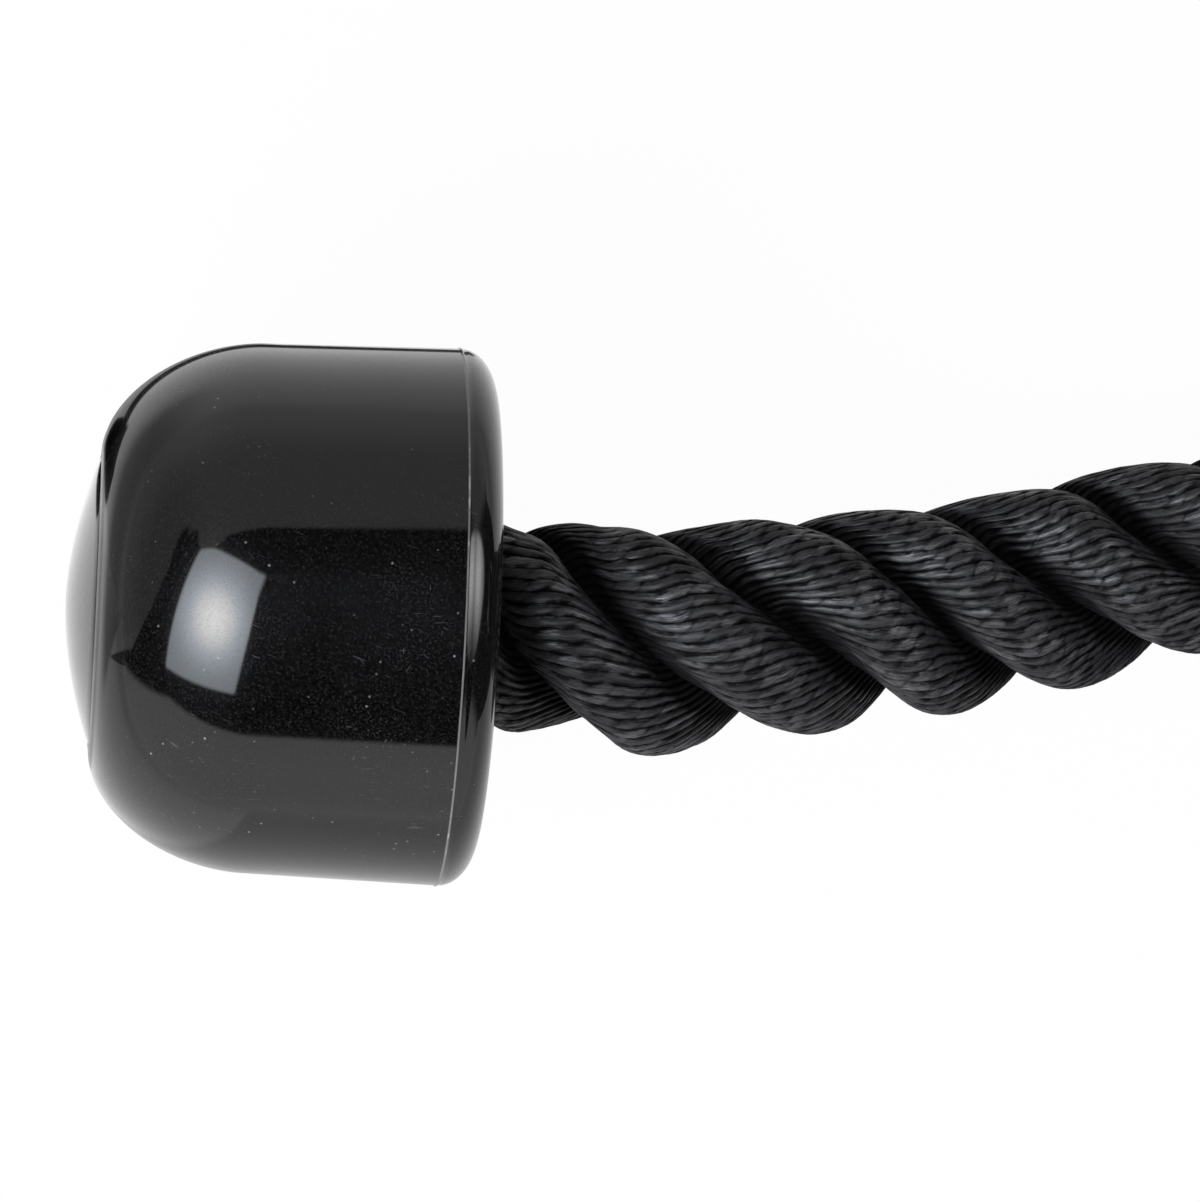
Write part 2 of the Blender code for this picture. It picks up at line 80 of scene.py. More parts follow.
# Shader maths: a wrapped output socket, so that sums on values read as sums
class Wire:
    def __init__(self, tree, socket=None):
        self.tree, self.socket = tree, socket

    def node(self, kind, settings=None, inputs=None, output=0):
        made = self.tree.nodes.new(kind)
        for name, value in (settings or {}).items():
            setattr(made, name, value)
        feed(made, inputs or {})
        return Wire(self.tree, made.outputs[output] if made.outputs else None)

    def maths(self, operation, *values):
        return self.node("ShaderNodeMath", {"operation": operation}, dict(enumerate(values)))

    def __add__(self, other):
        return self.maths("ADD", self, other)

    __radd__ = __add__

    def __sub__(self, other):
        return self.maths("SUBTRACT", self, other)

    def __rsub__(self, other):
        return self.maths("SUBTRACT", other, self)

    def __mul__(self, other):
        return self.maths("MULTIPLY", self, other)

    __rmul__ = __mul__

    def __truediv__(self, other):
        return self.maths("DIVIDE", self, other)

    def __pow__(self, other):
        return self.maths("POWER", self, other)

    def __abs__(self):
        return self.maths("ABSOLUTE", self)

    def __or__(self, other):
        # The larger value: of two masks, where either is
        return self.maths("MAXIMUM", self, other)

    def floored(self):
        return self.maths("FLOOR", self)

    def whiteNoise(self):
        return self.node("ShaderNodeTexWhiteNoise", {"noise_dimensions": "2D"}, {"Vector": self})

    def between(self, low, high, outLow=0.0, outHigh=1.0):
        # 0 below low, 1 above high, smooth in between
        return self.node(
            "ShaderNodeMapRange",
            {"interpolation_type": "SMOOTHSTEP"},
            {0: self, 1: low, 2: high, 3: outLow, 4: outHigh},
        )

    def vectorMaths(self, operation, vector, output=0):
        return self.node("ShaderNodeVectorMath", {"operation": operation}, {0: self, 1: tuple(vector)}, output)

    def dot(self, vector):
        return self.vectorMaths("DOT_PRODUCT", vector, output=1)

    def stretched(self, factors):
        return self.vectorMaths("MULTIPLY", factors)

    def shifted(self, vector):
        return self.vectorMaths("ADD", vector)

    def turned(self, degrees):
        return self.node(
            "ShaderNodeVectorRotate", {"rotation_type": "EULER_XYZ"},
            {"Vector": self, "Rotation": tuple(math.radians(turn) for turn in degrees)},
        )

    def part(self, axis):
        return self.node("ShaderNodeSeparateXYZ", None, {0: self}, output="XYZ".index(axis))

    def joined(self, second, third=0.0):
        return self.node("ShaderNodeCombineXYZ", None, {0: self, 1: second, 2: third})

    def noisy(self, scale, detail=2.0, roughness=0.5):
        return self.node("ShaderNodeTexNoise", None,
                         {"Vector": self, "Scale": scale, "Detail": detail, "Roughness": roughness})

    def cells(self, scale, output="Distance"):
        return self.node("ShaderNodeTexVoronoi", {"feature": "F1"}, {"Vector": self, "Scale": scale}, output)

    def mixed(self, first, second):
        # self chooses between two colours
        return self.node("ShaderNodeMix", {"data_type": "RGBA"}, {0: self, 6: first, 7: second}, output=2)

    def bumped(self, distance, strength=1.0):
        return self.node("ShaderNodeBump", None, {"Height": self, "Distance": distance, "Strength": strength})


def newMaterial(name):
    made = bpy.data.materials.new(name)
    made.use_nodes = True
    tree = made.node_tree
    return made, Wire(tree), tree.nodes["Principled BSDF"]


def feed(shader, inputs):
    for name, value in inputs.items():
        if isinstance(value, Wire):
            value.tree.links.new(value.socket, shader.inputs[name])
        else:
            shader.inputs[name].default_value = value


def rgb(red, green, blue):
    return (red, green, blue, 1)


rope = {
    "diameter": 0.028,
    "strandPlace": 0.00795,
    "strandHigh": 0.00602,  # a strand's half width along the rope's radius, and across it
    "strandWide": 0.00551,
    "strandWideInside": 0.0064,
    "strandGap": 0.0002,  # what the strands leave free in the rope's middle
    "pressedFrom": (85, 125),  # degrees from a strand's crown where its wider inner side begins and is full
    "lay": 0.0575,
    "yarns": 38,
    "columnsPerYarn": 4,
    "yarnLay": 0.0405,
    "yarnDepth": 0.00036,
    "ringSpacing": 0.0011,
    "hiddenRun": 0.005,
    "lineStep": 0.0005,
    "pointSpacing": 0.004,  # between the points of the cords' routes
    # where a strand's crown is at the lower side of the picture, from the stopper's mouth on
    "crowns": (-0.0102, 0.0048, 0.0247, 0.0473, 0.0657, 0.0856, 0.1050),
    "crownBlend": 0.0035,
    # the rope swells past the mouth: (distance, share of its diameter), and wanders to its inner side
    "swell": ((-0.05, 1.0), (0.002, 1.0), (0.008, 1.05), (0.014, 1.06), (0.020, 1.125), (0.028, 1.11),
              (0.037, 1.10), (0.047, 1.063), (0.060, 1.048), (0.084, 1.045), (0.100, 1.0)),
    "wander": ((-0.002, 0.0), (0.004, -0.0006), (0.010, -0.0002), (0.020, -0.0011), (0.030, -0.0008),
               (0.040, -0.0001), (0.050, 0.0), (0.060, -0.0003), (0.075, -0.0004), (0.090, 0.0007),
               (0.105, 0.0013), (0.140, 0.0)),
    "swellNoise": 0.010,
    "yarnNoise": 0.35,
    "yarnSway": 0.03,
    "innerFill": 0.79,  # how far the grooves are filled on the side that the picture shows flat
    "fillTurn": -0.74,
    "fillPower": 0.6,
    "fillFrom": (0.40, 0.75),
    "bendRun": (0.016, 0.028),  # into the sleeve and out of it, where a leg bends as it spreads
}

# The free part of leg a from the sleeve to the stopper, as in part.py
legKnots = (
    (0.013025, -0.014298, 0.0295),
    (-0.019074, -0.018101, 0.0212),
    (-0.049384, -0.029298, 0.0148),
    (-0.071573, -0.040797, 0.0143),
    (-0.087584, -0.049098, 0.0152),
    (-0.104274, -0.057702, 0.0194),
    (-0.128989, -0.069098, 0.0288),
    (-0.147681, -0.075302, 0.0338),
)
boltX, ropeHeight = joints["yoke_swing"]["pos_m"][0], joints["leg_a_spread"]["pos_m"][2]
fold = {"radius": 0.024, "run": 0.040, "tailLength": 0.0427, "runSteps": 40, "turnSteps": 60}


def mouthOf(letter):
    # Where a stopper's mouth is and which way the stopper points
    joint = joints["stopper_" + letter + "_turn"]
    return Vector(joint["pos_m"]), Vector(joint["axis"])


def eased(share):
    # From 0 to 1, with no corner at either end
    share = min(1.0, max(0.0, share))
    return share * share * (3 - 2 * share)


def smoothCurve(knots, startDirection, endDirection, steps=60):
    # A curve through the knots, as part.py draws it
    knots = [Vector(knot) for knot in knots]
    slopes = [Vector(startDirection)]
    for before, after in zip(knots, knots[2:]):
        slopes.append((after - before).normalized())
    slopes.append(Vector(endDirection))
    points = []
    for index, (here, there) in enumerate(zip(knots, knots[1:])):
        span = (there - here).length
        for step in range(steps):
            t = step / steps
            points.append(
                here * (1 + 2 * t) * (1 - t) ** 2
                + slopes[index] * span * t * (1 - t) ** 2
                + there * t * t * (3 - 2 * t)
                - slopes[index + 1] * span * t * t * (1 - t)
            )
    return points + [knots[-1]]


def evenly(points, step):
    # The same line with points one step apart
    made, left = [points[0].copy()], step
    for here, there in zip(points, points[1:]):
        span, done = (there - here).length, 0.0
        while span - done >= left:
            done += left
            made.append(here.lerp(there, done / span))
            left = step
        left -= span - done
    return made


def lineLength(points):
    return sum((there - here).length for here, there in zip(points, points[1:]))


def makeRopeLine():
    # The whole rope's centre line: tail, leg a, round the bush, leg b, tail; and a leg's length
    pivot = Vector(joints["leg_a_spread"]["pos_m"])
    mouth, outward = mouthOf("a")
    leg = smoothCurve([pivot, *legKnots, mouth], (-1, 0, 0), outward)[::-1]
    radius, run, half = fold["radius"], fold["run"], -pivot.y
    side = []
    for step in range(fold["runSteps"] + 1):
        share = step / fold["runSteps"]
        reach = half + (radius - half) * (1 - math.cos(math.pi * share)) / 2
        side.append(Vector((boltX - run + run * share, -reach, ropeHeight)))
    turn = []
    for step in range(1, fold["turnSteps"] + 1):
        angle = math.pi * step / (2 * fold["turnSteps"])
        turn.append(Vector((boltX + radius * math.sin(angle), -radius * math.cos(angle), ropeHeight)))
    halfLine = [mouth + outward * fold["tailLength"]] + leg + side + turn
    otherHalf = [Vector((point.x, -point.y, point.z)) for point in halfLine[::-1]]
    return evenly(halfLine + otherHalf[1:], rope["lineStep"]), lineLength(leg)


ropeLine, legLength = makeRopeLine()
ropeLength = (len(ropeLine) - 1) * rope["lineStep"]
mouthAt = fold["tailLength"]  # along the rope


def carriedFrames(line):
    # Each point with two directions across the rope that don't twist along it; the first points to the inner side
    across = Vector((0, 1, 0))
    frames = []
    for index, point in enumerate(line):
        along = (line[min(index + 1, len(line) - 1)] - line[max(index - 1, 0)]).normalized()
        across = (across - along * across.dot(along)).normalized()
        frames.append((point, across.copy(), along.cross(across)))
    return frames


ropeFrames = carriedFrames(ropeLine)


def ramped(pairs, at):
    if at <= pairs[0][0]:
        return pairs[0][1]
    for (low, lowValue), (high, highValue) in zip(pairs, pairs[1:]):
        if at <= high:
            return lowValue + (highValue - lowValue) * eased((at - low) / (high - low))
    return pairs[-1][1]


def layTurns(distance):
    # Thirds of a turn that the strands have made at a distance past the mouth of stopper a
    crowns = rope["crowns"]
    third = rope["lay"] / 3

    def plain(at):
        if at <= crowns[0]:
            return (at - crowns[0]) / third - 1
        for index, (low, high) in enumerate(zip(crowns, crowns[1:])):
            if at <= high:
                return index - 1 + (at - low) / (high - low)
        return len(crowns) - 2 + (at - crowns[-1]) / third

    spread = rope["crownBlend"]
    return sum(plain(distance + spread * step / 4) for step in range(-4, 5)) / 9


def nearMouth(distance):
    # How far a place is past the nearer of the two mouths
    return min(distance, ropeLength - 2 * mouthAt - distance)


def legShare(distance):
    # 1 on a free leg, 0 in the stopper, the sleeve and the fold
    ends = ((-0.002, 0.0), (0.006, 1.0), (legLength - 0.03, 1.0), (legLength - 0.004, 0.0))
    return ramped(ends, nearMouth(distance))


def strandRadius(angle):
    # From the strand's middle to its skin: round outside, wider inside where the strands press on each other
    start, full = rope["pressedFrom"]
    back = eased((abs(math.degrees(angle)) - start) / (full - start))
    high = rope["strandHigh"] + (rope["strandPlace"] - rope["strandGap"] - rope["strandHigh"]) * back
    wide = rope["strandWide"] + (rope["strandWideInside"] - rope["strandWide"]) * back
    return 1 / math.hypot(math.cos(angle) / high, math.sin(angle) / wide)


def strandRing(strand, at):
    # The ring of points of one strand at a place along the whole rope
    position = at / rope["lineStep"]
    index = min(int(position), len(ropeFrames) - 2)
    centre, inner, upward = [here.lerp(there, position - index)
                             for here, there in zip(ropeFrames[index], ropeFrames[index + 1])]
    inner, upward = inner.normalized(), upward.normalized()
    distance, third = at - mouthAt, 2 * math.pi / 3
    turn = third * (layTurns(distance) - strand) + math.pi
    rate = third * (layTurns(distance + 0.001) - layTurns(distance - 0.001)) / 0.002
    free = legShare(distance)
    centre = centre + inner * ramped(rope["wander"], nearMouth(distance))
    swell = ramped(rope["swell"], nearMouth(distance))
    swell *= 1 + rope["swellNoise"] * free * noise.noise(Vector((at * 60, strand * 7.3, 1.7)))
    slope = math.atan(rate * rope["strandPlace"])
    outer = rope["diameter"] / 2 * swell
    fillStart, fillFull = rope["fillFrom"]
    columns = rope["yarns"] * rope["columnsPerYarn"]
    points, crowns = [], []
    for column in range(columns):
        yarn, sub = divmod(column, rope["columnsPerYarn"])
        part = sub / rope["columnsPerYarn"]
        ridge = math.sqrt(max(0.0, 1 - (2 * part - 1) ** 2))
        uneven = 1 + rope["yarnNoise"] * noise.noise(Vector((yarn * 3.1, strand * 11.7, at * 160)))
        angle = 2 * math.pi * (column / columns - at / rope["yarnLay"])
        spot = Vector((math.cos(angle) * 2.3, math.sin(angle) * 2.3, at * 150 + strand * 9.1))
        angle += rope["yarnSway"] * noise.noise(spot)
        angle = (angle + math.pi) % (2 * math.pi) - math.pi
        radius = (strandRadius(angle) - rope["yarnDepth"] * (1 - ridge * uneven)) * swell
        bearing = turn + rate * radius * math.sin(angle) * math.sin(slope)
        x = rope["strandPlace"] * swell + radius * math.cos(angle)
        y = radius * math.sin(angle) * math.cos(slope)
        reach, bearing = math.hypot(x, y), math.atan2(y, x) + bearing
        crowns.append(reach / outer)
        if reach < outer:
            facing = max(0.0, math.cos(bearing - rope["fillTurn"])) ** rope["fillPower"] * free
            filled = eased((reach / outer - fillStart) / (fillFull - fillStart))
            reach += rope["innerFill"] * facing * (outer - reach) * filled
        points.append(centre + inner * (reach * math.cos(bearing)) + upward * (reach * math.sin(bearing)))
    return points, crowns


def makeRopePiece(name, start, end):
    # Three laid strands between two places along the whole rope, each closed at its ends
    columns = rope["yarns"] * rope["columnsPerYarn"]
    rings = max(2, math.ceil((end - start) / rope["ringSpacing"])) + 1
    points, crowns, faces, spots = [], [], [], []
    for strand in range(3):
        base = len(points)
        for ring in range(rings):
            places, heights = strandRing(strand, start + (end - start) * ring / (rings - 1))
            points += places
            crowns += heights
        for ring in range(rings - 1):
            along = [(start + (end - start) * (ring + step) / (rings - 1)) * 10 for step in (0, 1)]
            for column in range(columns):
                beyond = (column + 1) % columns
                low, high = base + ring * columns, base + (ring + 1) * columns
                faces.append((low + column, low + beyond, high + beyond, high + column))
                left, right = strand + column / columns, strand + (column + 1) / columns
                spots += [(left, along[0]), (right, along[0]), (right, along[1]), (left, along[1])]
        for ring, around in ((0, range(columns)[::-1]), (rings - 1, range(columns))):
            corners = [base + ring * columns + column for column in around]
            middle = sum((points[corner] for corner in corners), Vector()) / columns
            points.append(middle)
            crowns.append(0.5)
            for corner, beyond in zip(corners, corners[1:] + corners[:1]):
                faces.append((corner, beyond, len(points) - 1))
                spots += [(strand, start * 10)] * 3
    mesh = bpy.data.meshes.new(name)
    mesh.from_pydata(points, [], faces)
    layer = mesh.uv_layers.new(name="lay")
    layer.data.foreach_set("uv", [value for spot in spots for value in spot])
    # crown: how far out each point lies, which the finish turns into painted shade in the grooves
    mesh.attributes.new("crown", "FLOAT", "POINT").data.foreach_set("value", crowns)
    mesh.shade_smooth()
    mesh.update()
    piece = bpy.data.objects.new(name, mesh)
    bpy.context.scene.collection.objects.link(piece)
    return piece


def ropePoints(start, end):
    count = max(2, round((end - start) / rope["pointSpacing"]))
    places = [start + (end - start) * index / count for index in range(count + 1)]
    return [tuple(ropeLine[round(place / rope["lineStep"])]) for place in places]


def makeRopeFinish():
    look = {
        "colour": rgb(0.0262, 0.0264, 0.0285),
        # light: lighter yarns at random, and partly a painted sheen on the ply crests
        "light": rgb(0.0740, 0.0742, 0.0830),
        # gap: painted shade between the yarns and plies and down in the grooves
        "gap": rgb(0.0075, 0.0075, 0.0083),
        "plyLength": 4.6,  # millimetres from ply to ply along a yarn
        # painted shade in the grooves: how far out a strand's skin is where its painted black ends, and where it is
        # all open
        "groove": (0.66, 0.79),
        "grooveLight": 0.18,
        "plyWind": 0.45,  # how far a ply winds on across its yarn
        "lens": {"crest": 1.00, "ply": 0.45, "fibres": 1.60, "less": 1.42},
        "relief": {"crest": 0.50, "ply": 0.34, "fibres": 0.16},
    }
    finish, sheet, shader = newMaterial("blackTwistedYarn")
    place = sheet.node("ShaderNodeUVMap", {"uv_map": "lay"})
    around, along = place.part("X") * rope["yarns"], place.part("Y") * 100  # yarns, and millimetres
    # how far out the skin lies darkens the colour in the grooves between strands: painted shade
    grooveShading = sheet.node("ShaderNodeAttribute", {"attribute_name": "crown"}, output="Fac")
    grooveShading = grooveShading.between(*look["groove"], look["grooveLight"], 1.0)
    wander = along.joined(around * 0.6).noisy(0.26, 3) - 0.5
    yarnPlace = around + wander * 0.42
    yarn = yarnPlace.floored()
    part = yarnPlace - yarn
    crest = 1 - (part * 2 - 1) ** 2.0
    chance = yarn.joined(yarn * 0.37).whiteNoise()
    # the plies of a yarn wind round it, so that it looks like a row of slanting lenses
    uneven = (along * 0.10).joined(yarn * 2.7).noisy(1.0, 2) * 3.2
    turns = along / look["plyLength"] + part * look["plyWind"] + chance * 7 + uneven
    turn = turns.floored()
    ply = 1 - ((turns - turn) * 2 - 1) ** 2.0
    plyChance = turn.joined(yarn * 0.91).whiteNoise()
    patches = (along * 0.12).joined(around * 0.35).noisy(1.0, 3, 0.6)
    fibres = (along * 0.60).joined(around * 8).noisy(1.0, 4, 0.75)
    # neighbouring yarns lie so close in places that the gap between them fills, and its painted shade is left out
    # there
    filled = (along * 0.34).joined(around * 0.9).noisy(1.0, 3, 0.6).between(0.44, 0.64) * 0.55
    share = look["lens"]
    lens = crest * share["crest"] + ply * share["ply"] + fibres * share["fibres"] + filled - share["less"]
    # painted shade in the grooves takes the yarns' colour down to gap there
    lens = lens.between(-0.20, 0.82) * grooveShading
    light = (plyChance * 0.80 + 0.20) * (patches.between(0.32, 0.68) * 0.75 + 0.25)
    # ply crests lighter: partly painted sheen
    light = light * fibres.between(0.38, 0.62, 0.25, 1.75) * ply.between(0.0, 0.7, 0.35, 1.0)
    share = look["relief"]
    relief = crest * share["crest"] + ply * lens * share["ply"] + fibres * share["fibres"]
    feed(shader, {
        # lens sets the yarn colour; where it falls, the colour is the painted shade of gap
        "Base Color": lens.mixed(look["gap"], light.mixed(look["colour"], look["light"])),
        "Roughness": 0.85,
        "Normal": relief.bumped(0.0010, 0.85),
        "Specular IOR Level": 0.0,
        "Coat Weight": lens * (light * 0.75 + 0.25),
        "Coat Roughness": 0.40,
        "Coat IOR": 1.5,
    })
    return finish


ropeFinish = makeRopeFinish()
ropePieces = {}


def makeRope():
    hidden = rope["hiddenRun"]
    inLeg, outOfLeg = mouthAt - hidden, mouthAt + legLength + hidden
    places = {
        "ropeTailA": (0.0, inLeg),
        "ropeLegA": (inLeg, outOfLeg),
        "ropeFold": (outOfLeg, ropeLength - outOfLeg),
        "ropeLegB": (ropeLength - outOfLeg, ropeLength - inLeg),
        "ropeTailB": (ropeLength - inLeg, ropeLength),
    }
    for name, (start, end) in places.items():
        piece = makeRopePiece(name, start, end)
        piece.data.materials.append(ropeFinish)
        ropePieces[name] = piece
        print(name, "made,", len(piece.data.polygons), "faces")
    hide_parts("rope_bight")
    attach(ropePieces["ropeFold"], "fold")
    for letter in "ab":
        body, pivot = "leg_" + letter, Vector(joints["leg_" + letter + "_spread"]["pos_m"])
        leg, tail = ropePieces["ropeLeg" + letter.upper()], ropePieces["ropeTail" + letter.upper()]
        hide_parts("rope_leg_" + letter)
        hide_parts("rope_tail_" + letter)
        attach(tail, body)
        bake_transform(leg)


makeRope()


making = {
    "weld": 0.000002,  # points closer than this become one
    "speck": 0.0000005,  # shorter edges are dissolved after a cut
    "start": 0.001,  # size of the plane that becomes a profile's first point
    "smoothAngle": math.radians(35),
    "fewSegments": 64,  # round what is hidden or small
}


def selectNothing():
    if bpy.context.mode != "OBJECT":
        bpy.ops.object.mode_set(mode="OBJECT")
    bpy.ops.object.select_all(action="DESELECT")


def pick(piece, *others):
    # Selects the piece and the others, with the piece active
    selectNothing()
    for one in (*others, piece):
        one.select_set(True)
    bpy.context.view_layer.objects.active = piece


def apply(piece, kind, **settings):
    # Adds a modifier and makes it mesh at once
    step = piece.modifiers.new(kind.lower(), kind)
    for name, value in settings.items():
        setattr(step, name, value)
    bpy.ops.object.modifier_apply(modifier=step.name)


def closeMesh(holes=False):
    # Welds what was drawn in edit mode, turns its faces outwards and gives its object
    bpy.ops.mesh.select_all(action="SELECT")
    bpy.ops.mesh.remove_doubles(threshold=making["weld"])
    if holes:
        bpy.ops.mesh.fill_holes(sides=0)
    bpy.ops.mesh.normals_make_consistent(inside=False)
    bpy.ops.object.mode_set(mode="OBJECT")
    return bpy.context.object


def settle(piece, name, place=(0, 0, 0), direction=(0, 0, 1)):
    # Stands a piece that was made along Z at its place, and puts that into its mesh
    turn = Vector((0, 0, 1)).rotation_difference(Vector(direction)).to_matrix().to_4x4()
    piece.name = piece.data.name = name
    piece.matrix_world = Matrix.Translation(Vector(place)) @ turn @ piece.matrix_world
    bpy.ops.object.transform_apply(location=True, rotation=True, scale=True)
    bpy.ops.object.shade_smooth_by_angle(angle=making["smoothAngle"])
    return piece


def drawProfile(profile):
    # A point drawn out through (radius, height) places
    selectNothing()
    radius, height = profile[0]
    bpy.ops.mesh.primitive_plane_add(size=making["start"], location=(radius, 0, height))
    bpy.ops.object.mode_set(mode="EDIT")
    bpy.ops.mesh.select_all(action="SELECT")
    bpy.ops.mesh.merge(type="CENTER")
    for here, there in zip(profile, profile[1:]):
        step = (there[0] - here[0], 0, there[1] - here[1])
        bpy.ops.mesh.extrude_vertices_move(TRANSFORM_OT_translate={"value": step})


def turnOnLathe(name, profile, segments, place=(0, 0, 0), direction=(0, 0, 1)):
    # The profile is spun round the axis; it ends on the axis or where it began
    drawProfile(profile)
    bpy.ops.mesh.select_all(action="SELECT")
    bpy.ops.mesh.spin(steps=segments, angle=2 * math.pi, center=(0, 0, 0), axis=(0, 0, 1))
    return settle(closeMesh(), name, place, direction)


def arc(radius, height, size, start, end, steps):
    # Profile points round a corner's centre, from one angle in degrees to another
    turns = [math.radians(start + (end - start) * step / steps) for step in range(steps + 1)]
    return [(radius + size * math.cos(turn), height + size * math.sin(turn)) for turn in turns]


def finishOff(piece, finish, body, node):
    piece.data.materials.clear()
    piece.data.materials.append(finish)
    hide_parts(node)
    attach(piece, body)


stopper = {
    "length": 0.0522,
    "radius": 0.0363,
    "backRound": (0.0064, 0.0047),  # across and along
    "backSteps": 12,
    "flashWidth": 0.0003,
    "flashHeight": 0.00012,
    "wallTaper": 1.6,  # degrees, from taperFrom on
    "taperFrom": 0.0051,
    "shoulderLength": 0.0215,
    "shoulderPower": 1.84,
    "shoulderSteps": 36,
    "shoulderCrowd": 1.7,  # how much closer its rings lie towards the land
    "landRadius": 0.0200,
    "recessRadius": 0.0196,
    "seat": 0.0459,
    "pocketRadius": 0.0183,
    "pocketDepth": 0.0220,
    "boreRadius": 0.0143,
    "mouthRound": 0.0012,
    "rim": 0.0001,
    "segments": 160,
}
plug = {"radius": 0.0193, "dome": 0.00392, "domePower": 1.85, "edge": 0.0004, "depth": 0.006, "baseSoft": 0.0002,
        "rings": 14}


def stopperProfile():
    size = stopper
    radius, length, land, flash = size["radius"], size["length"], size["landRadius"], size["flashWidth"]
    across, along = size["backRound"]
    plain = radius - size["flashHeight"]
    points = []
    for step in range(size["backSteps"] + 1):
        angle = math.radians(90 - 90 * step / size["backSteps"])
        points.append((plain - across * (1 - math.cos(angle)), along * (1 - math.sin(angle))))
    points += [(radius, along + flash / 2), (radius, along + flash), (plain, along + flash * 1.5)]
    run = size["shoulderLength"]
    wall = radius - math.tan(math.radians(size["wallTaper"])) * (length - run - size["taperFrom"])
    power = size["shoulderPower"]
    for step in range(size["shoulderSteps"], -1, -1):
        share = (step / size["shoulderSteps"]) ** size["shoulderCrowd"]
        fullness = (1 - (1 - share) ** power) ** (1 / power)
        points.append((land + (wall - land) * fullness, length - run * share))
    recess, pocket, bore, rim = size["recessRadius"], size["pocketRadius"], size["boreRadius"], size["rim"]
    mouth = size["mouthRound"]
    points += [(recess + rim, length + rim / 2), (recess, length - rim), (recess, size["seat"])]
    points += [(pocket, size["seat"]), (pocket, size["pocketDepth"]), (bore, size["pocketDepth"]), (bore, mouth)]
    return points + [(bore + mouth * 0.29, mouth * 0.29), (bore + mouth, 0.0), points[0]]


def plugProfile():
    top, radius, edge = stopper["length"], plug["radius"], plug["edge"]
    base, soft = top - plug["depth"], plug["baseSoft"]
    points = []
    for step in range(plug["rings"] + 1):
        share = step / plug["rings"] * (1 - edge / radius)
        points.append((radius * share, top + plug["dome"] * (1 - share ** plug["domePower"])))
    points += [(radius - edge * 0.3, top - edge * 0.1), (radius, top - edge * 0.7)]
    return points + [(radius, base + soft), (radius - soft, base), (0, base)]


def makeStopperFinish(letter, mouth, direction, forPlug=False):
    look = {
        "colour": rgb(0.0008, 0.0008, 0.0009),
        "lighter": rgb(0.0170, 0.0170, 0.0180),
        "scratch": rgb(0.075, 0.075, 0.082),
        "dust": rgb(0.30, 0.30, 0.31),
        "flash": rgb(0.40, 0.40, 0.41),
        "flashPlace": 4.95,  # millimetres from the mouth
        "dullEdge": (51.50, 51.95),
        # hairline scratches: which way in degrees, how fine, and how rare
        "scratches": ((14, 3000, 0.735), (72, 3600, 0.74), (95, 2600, 0.73), (118, 2800, 0.735), (160, 3400, 0.74)),
        "scratchWidth": 0.05,
        "flecks": 800,
    }
    name = "glossBlackPlug" if forPlug else "glossBlackPlastic"
    finish, sheet, shader = newMaterial(name + letter.upper())
    place = sheet.node("ShaderNodeTexCoord", output="Object").shifted(-mouth)
    along = place.dot(direction) * 1000
    worn = place.noisy(60, 3, 0.6)
    scratches = []
    for turn, scale, limit in look["scratches"]:
        hairs = place.turned((0, 0, turn)).stretched((1.0, 0.05, 1.0)).noisy(scale, 1)
        scratches.append(hairs.between(limit, limit + look["scratchWidth"]))
    scratches = reduce(or_, scratches) * worn.between(0.45, 0.65)
    fleckChance = place.cells(look["flecks"], "Color").part("X")
    dust = (1 - place.cells(look["flecks"]).between(0.06, 0.17)) * fleckChance.between(0.78, 1.0)
    dust = dust * worn.between(0.42, 0.60, 0.15, 0.8)
    grain = place.noisy(3200, 2, 0.8)
    speckle = grain.between(0.44, 0.74)
    seam = 1 - abs(along - look["flashPlace"]).between(0.06, 0.17)
    patches = place.noisy(260, 3, 0.7).between(0.50, 0.66) * place.noisy(30, 2).between(0.36, 0.60)
    covered = dust if forPlug else dust | seam * (patches * 0.55 + 0.42)
    colour = speckle.mixed(look["colour"], look["lighter"])
    colour = (scratches * 0.7).mixed(colour, look["scratch"])
    colour = covered.mixed(colour, look["dust"] if forPlug else look["flash"])
    coat = 1.0 - 0.75 * covered - 0.25 * scratches - 0.22 * speckle
    if not forPlug:
        coat = coat * along.between(*look["dullEdge"], 1.0, 0.15)
    relief = place.noisy(70, 2) * 0.5 + grain * 0.02 + scratches * -0.12 + covered * 0.5
    feed(shader, {
        "Base Color": colour,
        "Roughness": worn.between(0.35, 0.65, 0.20, 0.30) + covered * 0.4,
        "Specular IOR Level": 0.05,
        "Coat Weight": coat,
        "Coat Roughness": 0.03,
        "Coat IOR": 1.64 if forPlug else 1.5,
        "Normal": relief.bumped(0.00004, 0.6),
    })
    return finish


def makeStoppers():
    for letter in "ab":
        mouth, direction = mouthOf(letter)
        for name, profile, node, forPlug in (("stopper", stopperProfile(), "stopper_body_", False),
                                             ("plug", plugProfile(), "end_plug_", True)):
            finish = makeStopperFinish(letter, mouth, direction, forPlug)
            piece = turnOnLathe(name + letter.upper(), profile, stopper["segments"], mouth, direction)
            finishOff(piece, finish, "stopper_" + letter, node + letter)
    print("stoppers and plugs made")


makeStoppers()


def makeMetalFinish(name, look):
    finish, sheet, shader = newMaterial(name)
    place = sheet.node("ShaderNodeTexCoord", output="Object")
    grain = place.stretched(look["grain"]).noisy(look["grainScale"], 3, 0.6)
    smudge = place.noisy(60, 3, 0.55)
    spangle = place.cells(look["spangle"], "Color").part("X")
    shade = (smudge * 0.6 + spangle * 0.4).between(0.2, 0.8)
    feed(shader, {
        "Base Color": shade.mixed(look["dull"], look["bright"]),
        "Metallic": 1.0,
        "Roughness": look["roughness"] + (smudge * 0.5 + grain * 0.5) * look["spread"],
        "Normal": (grain + spangle * look["facets"]).bumped(look["depth"], 0.6),
    })
    return finish


